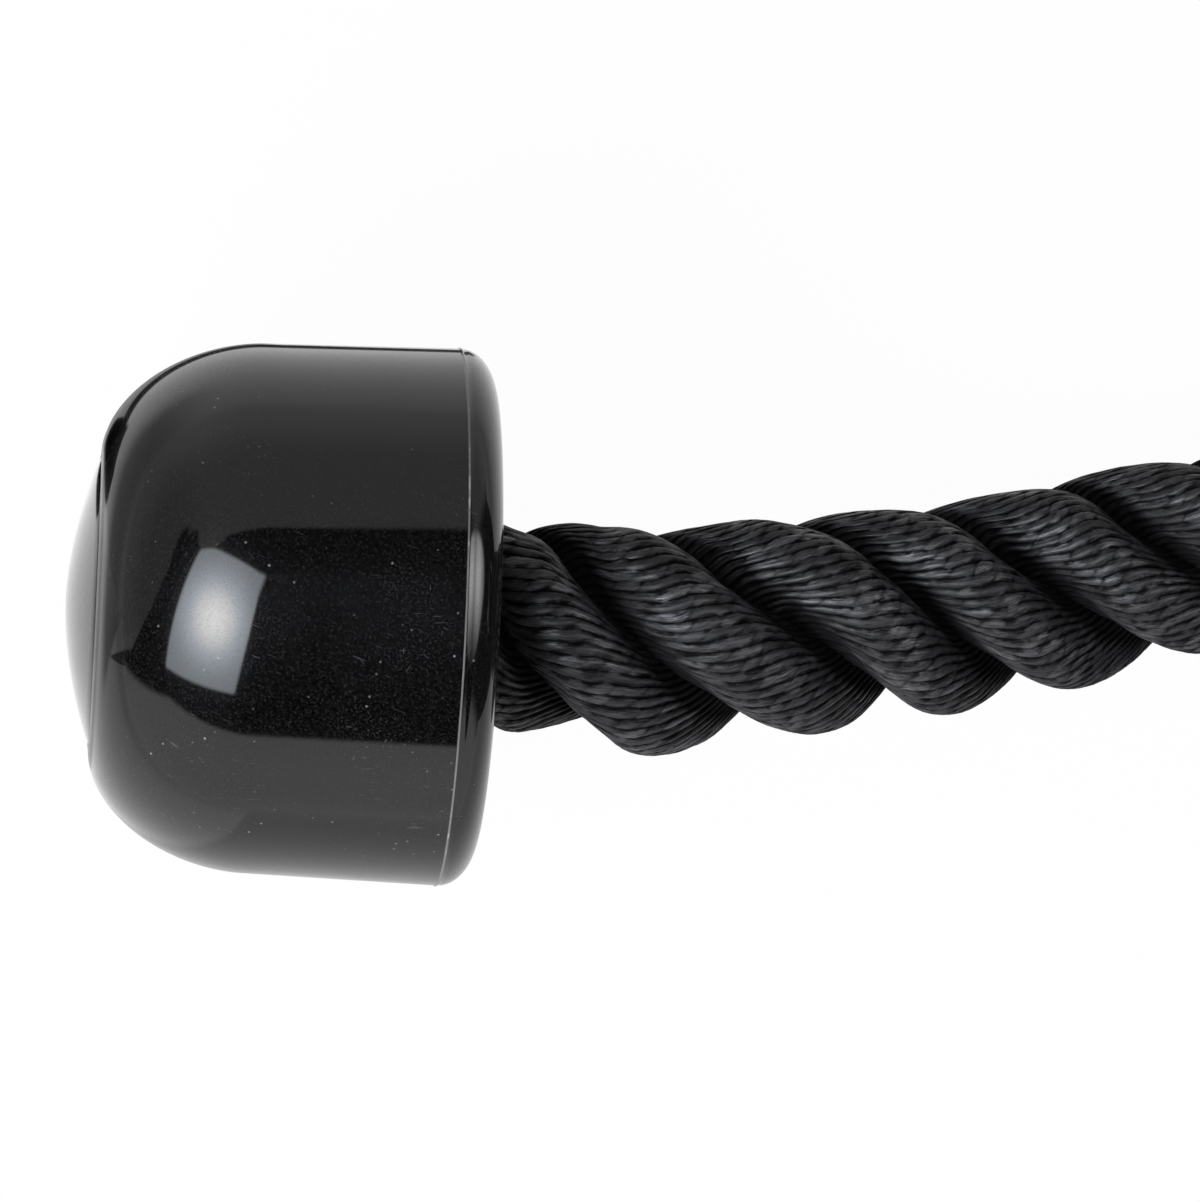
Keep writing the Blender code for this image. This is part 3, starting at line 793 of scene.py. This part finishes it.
metalFinishes = {
    "chrome": makeMetalFinish("chromePlate", {
        "bright": rgb(0.66, 0.67, 0.69), "dull": rgb(0.56, 0.57, 0.59), "roughness": 0.05, "spread": 0.14,
        "grain": (1, 1, 1), "grainScale": 900, "spangle": 40, "facets": 0.0, "depth": 0.00001}),
    "zinc_steel": makeMetalFinish("zincPlatedSteel", {
        "bright": rgb(0.60, 0.61, 0.62), "dull": rgb(0.42, 0.43, 0.45), "roughness": 0.22, "spread": 0.20,
        "grain": (1, 1, 1), "grainScale": 1400, "spangle": 900, "facets": 0.5, "depth": 0.00002}),
    "aluminium": makeMetalFinish("plainAluminium", {
        "bright": rgb(0.70, 0.70, 0.71), "dull": rgb(0.52, 0.52, 0.53), "roughness": 0.30, "spread": 0.25,
        "grain": (1, 6, 6), "grainScale": 500, "spangle": 500, "facets": 0.2, "depth": 0.00003}),
}

fitting = {
    "foot": (boltX, 0, 0),
    "middle": (boltX, 0, ropeHeight),
    "bore": 0.0053,
    "washer": (0.0105, 0.0016),  # radius and thickness
    "washerClearance": 0.0003,  # above the bolt's head
    "soft": 0.0003,  # how far the thin rings' edges are rounded
    "hexSoft": 0.00015,
    "chamfer": 0.001,  # of the hexagons and the threads' ends
    "past": 0.001,  # how far a hole's tool reaches past the faces
    "countersink": 0.0016,
    "segments": 96,
}
bolt = {"radius": 0.005, "pitch": 0.0015, "head": 0.017, "headHeight": 0.0064, "nutFrom": 0.0560, "nutHeight": 0.0074,
        "collarRadius": 0.0075, "collarTop": 0.0660, "collarRound": 0.0011, "tip": 0.0682, "upperWasherFrom": 0.0541,
        "overlap": 0.003}
bush = {"core": 0.0097, "flange": 0.0210, "thickness": 0.002, "height": 0.0326, "soft": 0.0006, "fillet": 0.0016,
        "boreSoft": 0.0004}
yoke = {"plate": 0.006, "width": 0.028, "gap": 0.0332, "end": -0.014, "bridge": 0.0500, "corner": 0.009, "steps": 12,
        "soft": 0.0009, "softSteps": 4, "softFrom": 40, "swivelHole": 0.0063}
swivel = {"tip": 0.0395, "shank": 0.006, "pitch": 0.00175, "nutFrom": 0.0408, "nutWidth": 0.019, "nutHeight": 0.007,
          "washerFrom": 0.0481, "washerRadius": 0.012, "collarFrom": 0.0563, "collar": 0.011, "collarLength": 0.004,
          "collarSoft": 0.0008, "inNut": 0.002, "neck": 0.008, "neckLength": 0.0095, "eyePlace": 0.0903,
          "eyeInner": 0.015, "eyeBar": 0.011, "eyeSoft": 0.0036, "eyeSegments": 160, "voxel": 0.00042, "calming": 10}
sleeve = {"front": -0.040, "length": 0.032, "inner": 0.0143, "wall": 0.0038, "halfPair": 0.01415, "endRound": 0.0016,
          "edgeSoft": 0.0005, "grooveDepth": 0.0012, "stations": 56, "turnSteps": 40,
          "grooves": ((0.0, 0), (0.22, 0), (0.28, 1), (0.40, 1), (0.46, 0), (0.54, 0), (0.60, 1), (0.72, 1),
                      (0.78, 0))}
ropeEnd = {"inner": 0.0143, "washerFrom": 0.0223, "washerRadius": 0.0180, "ferruleFrom": 0.0242, "ferruleTo": 0.0397,
           "ferruleWall": 0.003, "ferruleSoft": 0.0006}
thread = {
    # the flank between two roots: how far out and how far along the pitch
    "flank": ((0, 0), (0, 0.10), (0.9, 0.44), (1, 0.50), (1, 0.58), (0.9, 0.64), (0, 0.98), (0, 1)),
    "depth": 0.58,  # pitches
    "below": 1.313,  # how many pitches before its lower end the screw begins
    "steps": 48,
}


def ringProfile(inner, outer, low, high, soft, steps=3):
    # The section of a flat ring with rounded edges, ending where it began
    corners = ((inner + soft, low + soft, 180), (outer - soft, low + soft, 270),
               (outer - soft, high - soft, 0), (inner + soft, high - soft, 90))
    points = []
    for radius, height, start in corners:
        points += arc(radius, height, soft, start, start + 90, steps)
    return points + points[:1]


def cut(piece, tool, operation="DIFFERENCE"):
    # The tool takes its shape out of the piece, joins it or keeps what both share, and is gone
    pick(piece)
    apply(piece, "BOOLEAN", operation=operation, object=tool, solver="EXACT")
    bpy.data.objects.remove(tool)
    bpy.ops.object.mode_set(mode="EDIT")
    bpy.ops.mesh.select_all(action="SELECT")
    bpy.ops.mesh.dissolve_degenerate(threshold=making["speck"])
    bpy.ops.object.mode_set(mode="OBJECT")


def soften(piece, width, segments=2, limit=30):
    pick(piece)
    apply(piece, "BEVEL", width=width, segments=segments, limit_method="ANGLE", angle_limit=math.radians(limit),
          use_clamp_overlap=False)
    bpy.ops.object.shade_smooth_by_angle(angle=making["smoothAngle"])


def plate(piece, metal, body, node):
    finishOff(piece, metalFinishes[metal], body, node)


def makeWasher(name, sizes, segments, place, direction, body, node):
    # sizes: inner and outer radius, and where it lies along its axis
    inner, outer, low = sizes
    profile = ringProfile(inner, outer, low, low + fitting["washer"][1], fitting["soft"])
    plate(turnOnLathe(name, profile, segments, place, direction), "zinc_steel", body, node)


def makeHex(name, width, low, high, place, direction):
    # A six-sided block whose corners are turned off at both faces, at 30 degrees
    selectNothing()
    corner, chamfer = width / math.sqrt(3), fitting["chamfer"]
    bpy.ops.mesh.primitive_cylinder_add(vertices=6, radius=corner, depth=high - low,
                                        location=(0, 0, (low + high) / 2), rotation=(0, 0, math.radians(30)))
    block = settle(bpy.context.object, name, place, direction)
    widest, narrowest = corner + chamfer, corner - chamfer * (2 + math.sqrt(3))
    cone = (widest - narrowest) / math.sqrt(3)
    outline = [(0, low - chamfer), (narrowest, low - chamfer), (widest, low - chamfer + cone),
               (widest, high + chamfer - cone), (narrowest, high + chamfer), (0, high + chamfer)]
    cut(block, turnOnLathe(name + "Blank", outline, fitting["segments"], place, direction), "INTERSECT")
    return block


def makeThread(name, radius, pitch, low, high, place, direction):
    # One pitch of the flank is screwed up past both ends, which are then cut off and closed
    depth, below, steps = thread["depth"] * pitch, thread["below"], thread["steps"]
    drawProfile([(radius - depth + depth * out, low + (up - below) * pitch) for out, up in thread["flank"]])
    bpy.ops.object.mode_set(mode="OBJECT")
    piece = bpy.context.object
    bpy.ops.object.transform_apply(location=True, rotation=True, scale=True)
    turns = math.ceil((high - low) / pitch) + 3
    apply(piece, "SCREW", screw_offset=pitch, steps=steps, render_steps=steps, iterations=turns)
    bpy.ops.object.mode_set(mode="EDIT")
    for height, side in ((low, -1), (high, 1)):
        bpy.ops.mesh.select_all(action="SELECT")
        bpy.ops.mesh.bisect(plane_co=(0, 0, height), plane_no=(0, 0, side), clear_outer=True,
                            threshold=making["speck"])
    piece = settle(closeMesh(holes=True), name, place, direction)
    chamfer = fitting["chamfer"]
    outline = [(0, low - chamfer), (radius * 1.2, low - chamfer), (radius * 1.2, high - chamfer * 1.2),
               (radius - chamfer * 0.8, high), (0, high)]
    cut(piece, turnOnLathe(name + "Blank", outline, fitting["segments"], place, direction), "INTERSECT")
    return piece


def makeBolt():
    place, up, bore, segments = fitting["foot"], (0, 0, 1), fitting["bore"], fitting["segments"]
    radius, low, rest = bolt["radius"], bolt["overlap"], bolt["nutFrom"] - 0.0002
    head = makeHex("yokeBolt", bolt["head"], 0, bolt["headHeight"], place, up)
    shank = turnOnLathe("yokeBoltShank", [(0, low), (radius, low), (radius, rest), (0, rest)], segments, place, up)
    cut(head, shank, "UNION")
    soften(head, fitting["hexSoft"])
    pick(head, makeThread("yokeBoltThread", radius, bolt["pitch"], rest, bolt["tip"], place, up))
    bpy.ops.object.join()
    plate(head, "zinc_steel", "fold", "yoke_bolt")
    bottom, top, reach, lip = bolt["nutFrom"], bolt["collarTop"], bolt["collarRadius"], bolt["collarRound"]
    nut = makeHex("yokeNut", bolt["head"], bottom, bottom + bolt["nutHeight"], place, up)
    collar = [(0, bottom + low), (reach, bottom + low), (reach, top - lip)]
    collar += arc(reach - lip, top - lip, lip, 0, 90, 6)[1:]
    collar += [(bore + 0.0005, top), (bore + 0.0003, top - 0.0004), (0, top - 0.0004)]
    cut(nut, turnOnLathe("yokeNutCollar", collar, segments, place, up), "UNION")
    past, wide = fitting["past"], bore + fitting["countersink"]
    hole = [(0, bottom - past), (wide, bottom - past), (bore, bottom + 0.0006), (bore, top + past), (0, top + past)]
    cut(nut, turnOnLathe("yokeNutHole", hole, segments, place, up))
    soften(nut, fitting["hexSoft"])
    plate(nut, "zinc_steel", "fold", "yoke_nut")
    outer = fitting["washer"][0]
    for side, low in (("lower", bolt["headHeight"] + fitting["washerClearance"]), ("upper", bolt["upperWasherFrom"])):
        makeWasher(side + "Washer", (bore, outer, low), segments, place, up, "fold", "yoke_washer_" + side)
    print("bolt, nut and washers made")


def makeBush():
    low, thick, soft, fillet = ropeHeight - bush["height"] / 2, bush["thickness"], bush["soft"], bush["fillet"]
    bore, core, flange = fitting["bore"], bush["core"], bush["flange"]
    side = [(bore, low + bush["boreSoft"]), (bore + bush["boreSoft"], low)]
    side += arc(flange - soft, low + soft, soft, -90, 0, 3)
    side += arc(flange - soft, low + thick - soft, soft, 0, 90, 3)
    side += arc(core + fillet, low + thick + fillet, fillet, 270, 180, 5)
    profile = side + [(radius, 2 * ropeHeight - height) for radius, height in side[::-1]] + side[:1]
    piece = turnOnLathe("thimbleBush", profile, fitting["segments"], fitting["foot"])
    plate(piece, "zinc_steel", "fold", "thimble_bush")
    print("bush made")


def makeYoke():
    # A flat bar bent to a U on its side; its outline is filled, drawn out and its arms' ends are rounded
    x, y, middle = fitting["middle"]
    inside, outside = yoke["gap"] / 2, yoke["gap"] / 2 + yoke["plate"]
    corner, inner, steps = yoke["corner"], yoke["corner"] - yoke["plate"], yoke["steps"]
    bridge, back = x + yoke["bridge"], x + yoke["bridge"] + yoke["plate"]
    start, half = x + yoke["end"], yoke["width"] / 2
    outline = [(start, middle - outside)]
    outline += arc(back - corner, middle - outside + corner, corner, -90, 0, steps)
    outline += arc(back - corner, middle + outside - corner, corner, 0, 90, steps)
    outline += [(start, middle + outside), (start, middle + inside)]
    outline += arc(bridge - inner, middle + inside - inner, inner, 90, 0, steps)
    outline += arc(bridge - inner, middle - inside + inner, inner, 0, -90, steps)
    outline += [(start, middle - inside)]
    drawProfile(outline)
    bpy.ops.mesh.select_all(action="SELECT")
    bpy.ops.mesh.edge_face_add()
    bpy.ops.transform.translate(value=(0, -half, 0))
    bpy.ops.mesh.extrude_region_move(TRANSFORM_OT_translate={"value": (0, yoke["width"], 0)})
    piece = settle(closeMesh(), "yokeBar")
    selectNothing()
    # the tool that keeps the round arm ends: a disc whose far half is drawn out past the bridge
    reach = 0.08
    bpy.ops.mesh.primitive_cylinder_add(vertices=fitting["segments"], radius=half, depth=reach,
                                        location=(x, y, middle))
    tool = bpy.context.object
    bpy.ops.object.transform_apply(location=True, rotation=True, scale=True)
    bpy.ops.object.mode_set(mode="EDIT")
    bpy.ops.mesh.select_all(action="SELECT")
    bpy.ops.mesh.bisect(plane_co=(x, 0, 0), plane_no=(1, 0, 0), clear_outer=True, use_fill=False)
    bpy.ops.object.mode_set(mode="OBJECT")
    for edge in tool.data.edges:
        edge.select = all(abs(tool.data.vertices[corner].co.x - x) < 0.00001 for corner in edge.vertices)
    bpy.ops.object.mode_set(mode="EDIT")
    bpy.ops.mesh.extrude_edges_move(TRANSFORM_OT_translate={"value": (reach, 0, 0)})
    bpy.ops.mesh.edge_face_add()
    cut(piece, closeMesh(), "INTERSECT")
    for name, radius, length, place, direction in (
            ("armHole", fitting["bore"], 0.07, (x, y, -0.002), (0, 0, 1)),
            ("bridgeHole", yoke["swivelHole"], 0.012, (bridge - 0.003, y, middle), (1, 0, 0))):
        outline = [(0, 0), (radius, 0), (radius, length), (0, length)]
        cut(piece, turnOnLathe(name, outline, making["fewSegments"], place, direction))
    soften(piece, yoke["soft"], yoke["softSteps"], yoke["softFrom"])
    plate(piece, "chrome", "yoke", "yoke")
    print("yoke made,", len(piece.data.polygons), "faces")


def makeSwivel():
    place, along, segments = fitting["middle"], (1, 0, 0), fitting["segments"]
    shank, collar, neck, soft = swivel["shank"], swivel["collar"], swivel["neck"], swivel["collarSoft"]
    start, lastTurn = swivel["collarFrom"], swivel["nutFrom"] + swivel["inNut"]
    end = start + swivel["collarLength"]
    stem = [(0, lastTurn), (shank, lastTurn), (shank, start), (collar - soft, start)]
    stem += arc(collar - soft, start + soft, soft, -90, 0, 3)
    stem += [(collar, end - soft), (neck + 0.0008, end + 0.0005), (neck - 0.0004, end + 0.0012), (0, end + 0.0012)]
    piece = turnOnLathe("swivelEye", stem, segments, place, along)
    # the neck and the eye are one forging: joined, then their corners run into each other
    far = end + swivel["neckLength"]
    outline = [(0, end - 0.001), (neck, end - 0.001), (neck, end + 0.002), (neck, far), (0, far)]
    neckPiece = turnOnLathe("neck", outline, making["fewSegments"], place, along)
    inner, half = swivel["eyeInner"], swivel["eyeBar"] / 2
    ring = turnOnLathe("eyeRing", ringProfile(inner, inner + swivel["eyeBar"], -half, half, swivel["eyeSoft"], 6),
                       swivel["eyeSegments"], (place[0] + swivel["eyePlace"], *place[1:]))
    cut(ring, neckPiece, "UNION")
    apply(ring, "REMESH", mode="VOXEL", voxel_size=swivel["voxel"], use_smooth_shade=True)
    apply(ring, "SMOOTH", factor=0.5, iterations=swivel["calming"])
    screw = makeThread("swivelThread", shank, swivel["pitch"], -lastTurn, -swivel["tip"], place, (-1, 0, 0))
    pick(piece, ring, screw)
    bpy.ops.object.join()
    plate(piece, "chrome", "eye", "swivel_eye")
    low, high = swivel["nutFrom"], swivel["nutFrom"] + swivel["nutHeight"]
    nut = makeHex("swivelNut", swivel["nutWidth"], low, high, place, along)
    bore, past = shank + 0.0003, fitting["past"]
    wide = bore + fitting["countersink"]
    hole = [(0, low - past), (wide, low - past), (bore, low + 0.0006), (bore, high - 0.0006), (wide, high + past),
            (0, high + past)]
    cut(nut, turnOnLathe("swivelNutHole", hole, segments, place, along))
    soften(nut, fitting["hexSoft"])
    plate(nut, "zinc_steel", "eye", "swivel_nut")
    sizes = bore, swivel["washerRadius"], swivel["washerFrom"]
    makeWasher("swivelWasher", sizes, segments, place, along, "yoke", "swivel_washer")
    print("swivel eye, nut and washer made")


def makeSleeve():
    # The wall's section is spun half round one leg, drawn across, spun round the other and drawn back
    outer, inner, length = sleeve["inner"] + sleeve["wall"], sleeve["inner"], sleeve["length"]
    edge, soft, half, stations = sleeve["endRound"], sleeve["edgeSoft"], sleeve["halfPair"], sleeve["stations"]
    profile = [(inner + soft, 0)] + arc(outer - edge, edge, edge, -90, 0, 6)
    for station in range(1, stations):
        height = edge + (length - 2 * edge) * station / stations
        profile.append((outer - sleeve["grooveDepth"] * ramped(sleeve["grooves"], height / length), height))
    profile += arc(outer - edge, length - edge, edge, 0, 90, 6)
    drawProfile(profile + [(inner + soft, length), (inner, length - soft), (inner, soft), (inner + soft, 0)])
    bpy.ops.mesh.select_all(action="SELECT")
    bpy.ops.transform.translate(value=(0, half, 0))
    for side in (1, -1):
        bpy.ops.mesh.spin(steps=sleeve["turnSteps"], angle=-math.pi, center=(0, side * half, 0), axis=(0, 0, 1))
        bpy.ops.mesh.extrude_edges_move(TRANSFORM_OT_translate={"value": (0, -2 * side * half, 0)})
    x, y, middle = fitting["middle"]
    piece = settle(closeMesh(), "crimpSleeve", (x + sleeve["front"], y, middle), (-1, 0, 0))
    plate(piece, "chrome", "fold", "crimp_sleeve")
    print("sleeve made")


def makeRopeEnds():
    inner, segments = ropeEnd["inner"], making["fewSegments"]
    profile = ringProfile(inner, inner + ropeEnd["ferruleWall"], ropeEnd["ferruleFrom"], ropeEnd["ferruleTo"],
                          ropeEnd["ferruleSoft"])
    for letter in "ab":
        mouth, direction = mouthOf(letter)
        body, side = "leg_" + letter, letter.upper()
        sizes = inner, ropeEnd["washerRadius"], ropeEnd["washerFrom"]
        makeWasher("endWasher" + side, sizes, segments, mouth, direction, body, "end_washer_" + letter)
        ferrule = turnOnLathe("endFerrule" + side, profile, segments, mouth, direction)
        plate(ferrule, "aluminium", body, "end_ferrule_" + letter)
    print("rope ends made")


def hideTwin():
    # The photograph's stopper mirrors neither its twin nor the second leg
    for name in ("stopperB", "plugB", "endWasherB", "endFerruleB", "ropeTailB", "ropeLegB"):
        bpy.data.objects[name].visible_glossy = False


makeBolt()
makeBush()
makeYoke()
makeSwivel()
makeSleeve()
makeRopeEnds()
hideTwin()


def declareCords():
    start, end = mouthAt, mouthAt + legLength
    routes = {"ropeLegA": ropePoints(start, end)[::-1], "ropeLegB": ropePoints(ropeLength - end, ropeLength - start)}


declareCords()

floor = {
    "size": 8.0,
    "colour": rgb(0.84, 0.84, 0.84),
    "paler": rgb(0.87, 0.87, 0.87),
    "whiteShare": 0.975,
    "patchSoft": 0.0015,
    # how bright the floor is in a reflection: beside the object and far from it, below it in the picture and above it
    "below": (0.65, 0.98),
    "above": (0.86, 0.66),
    "farFrom": (0.03, 0.7),
    "aboveRightLoss": 0.40,
    "leftGain": 1.42,
    "leftLoss": (0.60, 0.28),  # painted shade on the floor at the stopper's left, in reflections only: nearer and farther
    # the directions in which the floor on the left starts and is all there, as shares of the distance
    "leftFrom": (-0.80, -0.40),
    # dark patches painted on the floor, which only reflections show: how dark, then corners right and up of the
    # picture's middle
    "darkPatches": (
        (1.0, (-0.012, 0.0445), (-0.012, 0.0510), (-0.060, 0.0535), (-0.100, 0.0515), (-0.100, 0.0425)),
        (1.0, (-0.078, 0.0240), (-0.080, 0.0340), (-0.088, 0.0430), (-0.106, 0.0560), (-0.114, 0.0520),
         (-0.126, 0.0420), (-0.122, 0.0300), (-0.112, 0.0235), (-0.092, 0.0225)),
        (0.6, (-0.046, 0.0290), (-0.046, 0.0460), (-0.100, 0.0460), (-0.096, 0.0360), (-0.078, 0.0250)),
        (0.9, (-0.235, -0.0305), (-3.9, -0.654), (-3.9, -0.947)),
        (0.93, (0.052, -0.0120), (3.9, -2.20), (3.9, 2.20)),
    ),
}
cameraTurn = math.radians(camera["turn"])
imageRight = Vector((math.cos(cameraTurn), math.sin(cameraTurn), 0))
imageUp = Vector((-imageRight.y, imageRight.x, 0))


def towards(right, up, high=1.0):
    # A direction given in the picture's own right, up and height
    return (imageRight * right + imageUp * up + Vector((0, 0, high))).normalized()


light = {
    # patches of sky as the stopper shows them: corners by the picture's right, up and height, which is 1 if left out
    "softbox": ((-0.70, 0.54), (-1.49, -0.66), (-0.27, -0.75), (0.085, 0.25), (-0.49, 0.52)),
    "softboxHeart": (-0.45, -0.07),
    "ceiling": ((-1.25, 0.80), (-1.35, 0.45), (-1.62, -1.20), (-0.87, -1.37), (0.9, -1.63), (1.07, -0.25),
                (0.63, 0.78)),
    "ceilingGaps": (
        ((-0.70, 0.53), (-0.50, 0.50), (-0.33, 0.66), (-0.33, 1.10), (-0.95, 1.10), (-0.86, 0.86)),
        ((-0.36, 0.64), (0.12, 0.70), (0.17, 0.78), (0.17, 1.20), (-0.36, 1.20)),
        ((-1.0, -0.159, -0.08), (-6.8, -1.27), (-3.06, -0.30), (-1.90, 0.09), (-1.35, 0.45), (-1.20, 0.95),
         (-3.0, 3.0), (-1.0, 0.3, -0.08)),
    ),
    "ceilingWedge": ((-1.0, 0.9), (-1.0, -0.10, -0.08), (-1.0, -0.182, -0.08), (-0.9, -1.01)),
    "sideLight": ((0.42, 0.75), (0.50, -0.45), (1.2, -0.40), (2.2, -0.10), (3.6, 0.36), (3.3, 0.95), (1.6, 0.98)),
    "sideHeart": (1.10, 0.36),
    "edges": {"softbox": 0.020, "ceiling": 0.03, "gap": 0.015, "side": 0.05},  # how soft their edges are
    "softboxLevels": (4.1, 11.3),
    "softboxFocus": 25.0,  # how closely the softbox's light gathers round its heart
    "glow": 0.12,
    "glowFocus": 14.0,
    "sideFocus": 16.0,
    "cool": rgb(0.84, 0.91, 1.0),  # the softbox away from its heart
    "ceilingLevel": 0.01,
    "farLevels": (0.66, 0.50),  # at the horizon and high up
    "nearLevels": (0.98, 1.10),
    "farLeftShare": 0.72,
    "rightLevel": 0.05,
    "sideLevel": 6.4,
    "diffuseLevel": 0.32,
    "lampPower": 24.0,
    "lampDistance": 1.5,
    "lampSize": 0.8,
    "lampFrom": (-0.85, -0.75),
    "lampAt": (-0.06, -0.03, 0.02),
}


def insideCorners(direction, corners, soft):
    # 1 where a direction lies inside a convex patch of sky whose corners run anticlockwise
    corners = [towards(*corner) for corner in corners]
    return reduce(mul, [direction.dot(here.cross(there).normalized()).between(-soft, soft)
                        for here, there in zip(corners, corners[1:] + corners[:1])])


def lightPaths(sheet):
    # The rays that see plain white, and the mirrored ones
    names = ("Is Camera Ray", "Is Transmission Ray", "Is Glossy Ray")
    seen, through, mirrored = [sheet.node("ShaderNodeLightPath", output=name) for name in names]
    plain = seen | through
    return plain, mirrored * (1 - plain)


def graded(share, levels):
    # A level that runs from the first to the second value
    return levels[0] + share * (levels[1] - levels[0])


def makeWorld():
    world = bpy.data.worlds.new("studio")
    bpy.context.scene.world = world
    world.use_nodes = True
    world.cycles.sampling_method = "NONE"
    tree = world.node_tree
    tree.nodes.clear()
    sheet = Wire(tree)
    direction = sheet.node("ShaderNodeTexCoord", output="Generated")
    upward, rightward = direction.dot(imageUp), direction.dot(imageRight)
    high = direction.part("Z").between(0.0, 0.35)
    side = upward.between(-0.42, -0.02)
    far = graded(high, light["farLevels"]) * rightward.between(-0.80, -0.40, light["farLeftShare"], 1.0)
    room = graded(high, light["nearLevels"]) * (1 - side) + far * side
    right = rightward.between(0.25, 0.75) * abs(upward).between(0.46, 0.66, 1.0, 0.0)
    room = room * (1 - right) + right * light["rightLevel"]
    edges = light["edges"]
    softbox = insideCorners(direction, light["softbox"], edges["softbox"])
    ceiling = insideCorners(direction, light["ceiling"], edges["ceiling"])
    ceiling = ceiling | insideCorners(direction, light["ceilingWedge"], edges["ceiling"])
    for gap in light["ceilingGaps"]:
        ceiling = ceiling * (1 - insideCorners(direction, gap, edges["gap"]))
    heart = direction.dot(towards(*light["softboxHeart"])) | 0.0
    sideHeart = direction.dot(towards(*light["sideHeart"])) | 0.0
    side = insideCorners(direction, light["sideLight"], edges["side"]) * sideHeart ** light["sideFocus"]
    edge, middle = light["softboxLevels"]
    seen = room * (1 - ceiling) + ceiling * light["ceilingLevel"] + side * light["sideLevel"]
    seen = seen + softbox * (edge + heart ** light["softboxFocus"] * middle)
    seen = seen + heart ** light["glowFocus"] * light["glow"]
    plain, glossy = lightPaths(sheet)
    level = plain + glossy * seen + (1 - plain - glossy) * light["diffuseLevel"]
    cool = glossy * softbox * (1 - heart.between(0.96, 0.995))
    tint = cool.mixed(rgb(1, 1, 1), light["cool"])
    sky = sheet.node("ShaderNodeBackground", None, {"Color": tint, "Strength": level})
    sheet.node("ShaderNodeOutputWorld", None, {"Surface": sky})


def makeLamp():
    data = bpy.data.lights.new("softboxLamp", "AREA")
    data.shape = "SQUARE"
    data.size = light["lampSize"]
    data.energy = light["lampPower"]
    lamp = bpy.data.objects.new("softboxLamp", data)
    bpy.context.scene.collection.objects.link(lamp)
    away = towards(*light["lampFrom"])
    lamp.location = Vector(light["lampAt"]) + away * light["lampDistance"]
    lamp.rotation_euler = away.to_track_quat("Z", "Y").to_euler()
    lamp.visible_glossy = False
    lamp.visible_camera = False


def makeFloor():
    selectNothing()
    bpy.ops.mesh.primitive_plane_add(size=floor["size"], location=(0, 0, 0))
    plane = bpy.context.object
    plane.name = plane.data.name = "floor"
    finish, sheet, shader = newMaterial("paleFloor")
    place = sheet.node("ShaderNodeTexCoord", output="Object")
    feed(shader, {
        "Base Color": place.noisy(30, 3).mixed(floor["colour"], floor["paler"]),
        "Roughness": 0.9,
        "Specular IOR Level": 0.0,
    })
    plain, glossy = lightPaths(sheet)
    seat, soft = Vector(camera["place"]), floor["patchSoft"]
    middle = imageRight * (seat @ imageRight) + imageUp * (seat @ imageUp)
    # painted dark patches on the floor, which only glossy rays see
    patches = []
    for darkness, *patch in floor["darkPatches"]:
        corners = [middle + imageRight * right + imageUp * up for right, up in patch]
        edges = []
        for here, there in zip(corners, corners[1:] + corners[:1]):
            inward = Vector((0, 0, 1)).cross(there - here).normalized()
            edges.append((place.dot(inward) - inward @ here).between(-soft, soft))
        patches.append(reduce(mul, edges) * darkness)
    up = place.dot(imageUp) - middle @ imageUp
    across = place.dot(imageRight) - middle @ imageRight
    reach = (across * across + up * up) ** 0.5
    far = abs(up).between(*floor["farFrom"])
    side = up.between(-0.04, 0.04)
    below, above = graded(far, floor["below"]), graded(far, floor["above"])
    above = above * (1 - across.between(0.03, 0.20) * reach.between(0.2, 0.6, floor["aboveRightLoss"], 0.0))
    beside = (1 - across.between(-0.080, -0.068)) * (1 - up.between(0.022, 0.030)) * (1 - reach.between(0.20, 0.65))
    # painted shade on the floor at the stopper's left, seen only in reflections
    leftward = 1 - (across / reach).between(*floor["leftFrom"])
    leftShade = leftward * reach.between(0.13, 0.19) * reach.between(0.25, 0.80, *floor["leftLoss"])
    leftShade = leftShade * up.between(-0.040, -0.025)
    # for glossy rays the floor glows at this painted brightness, with its painted shade and dark patches
    mirrored = (below * (1 - side) + above * side) * (1 - reduce(or_, patches)) * (1 - leftShade)
    mirrored = mirrored * beside.between(0, 1, 1.0, floor["leftGain"])
    strength = plain + (1 - plain) * mirrored
    white = sheet.node("ShaderNodeEmission", None, {"Color": rgb(1, 1, 1), "Strength": strength})
    share = plain * floor["whiteShare"] | glossy
    both = sheet.node("ShaderNodeMixShader", None, {0: share, 1: Wire(sheet.tree, shader.outputs[0]), 2: white})
    sheet.tree.links.new(both.socket, sheet.tree.nodes["Material Output"].inputs["Surface"])
    plane.data.materials.append(finish)


makeWorld()
makeLamp()
makeFloor()
print("floor, world and lamp made")

print("rope line", round(ropeLength, 4), "m, leg", round(legLength, 4), "m")
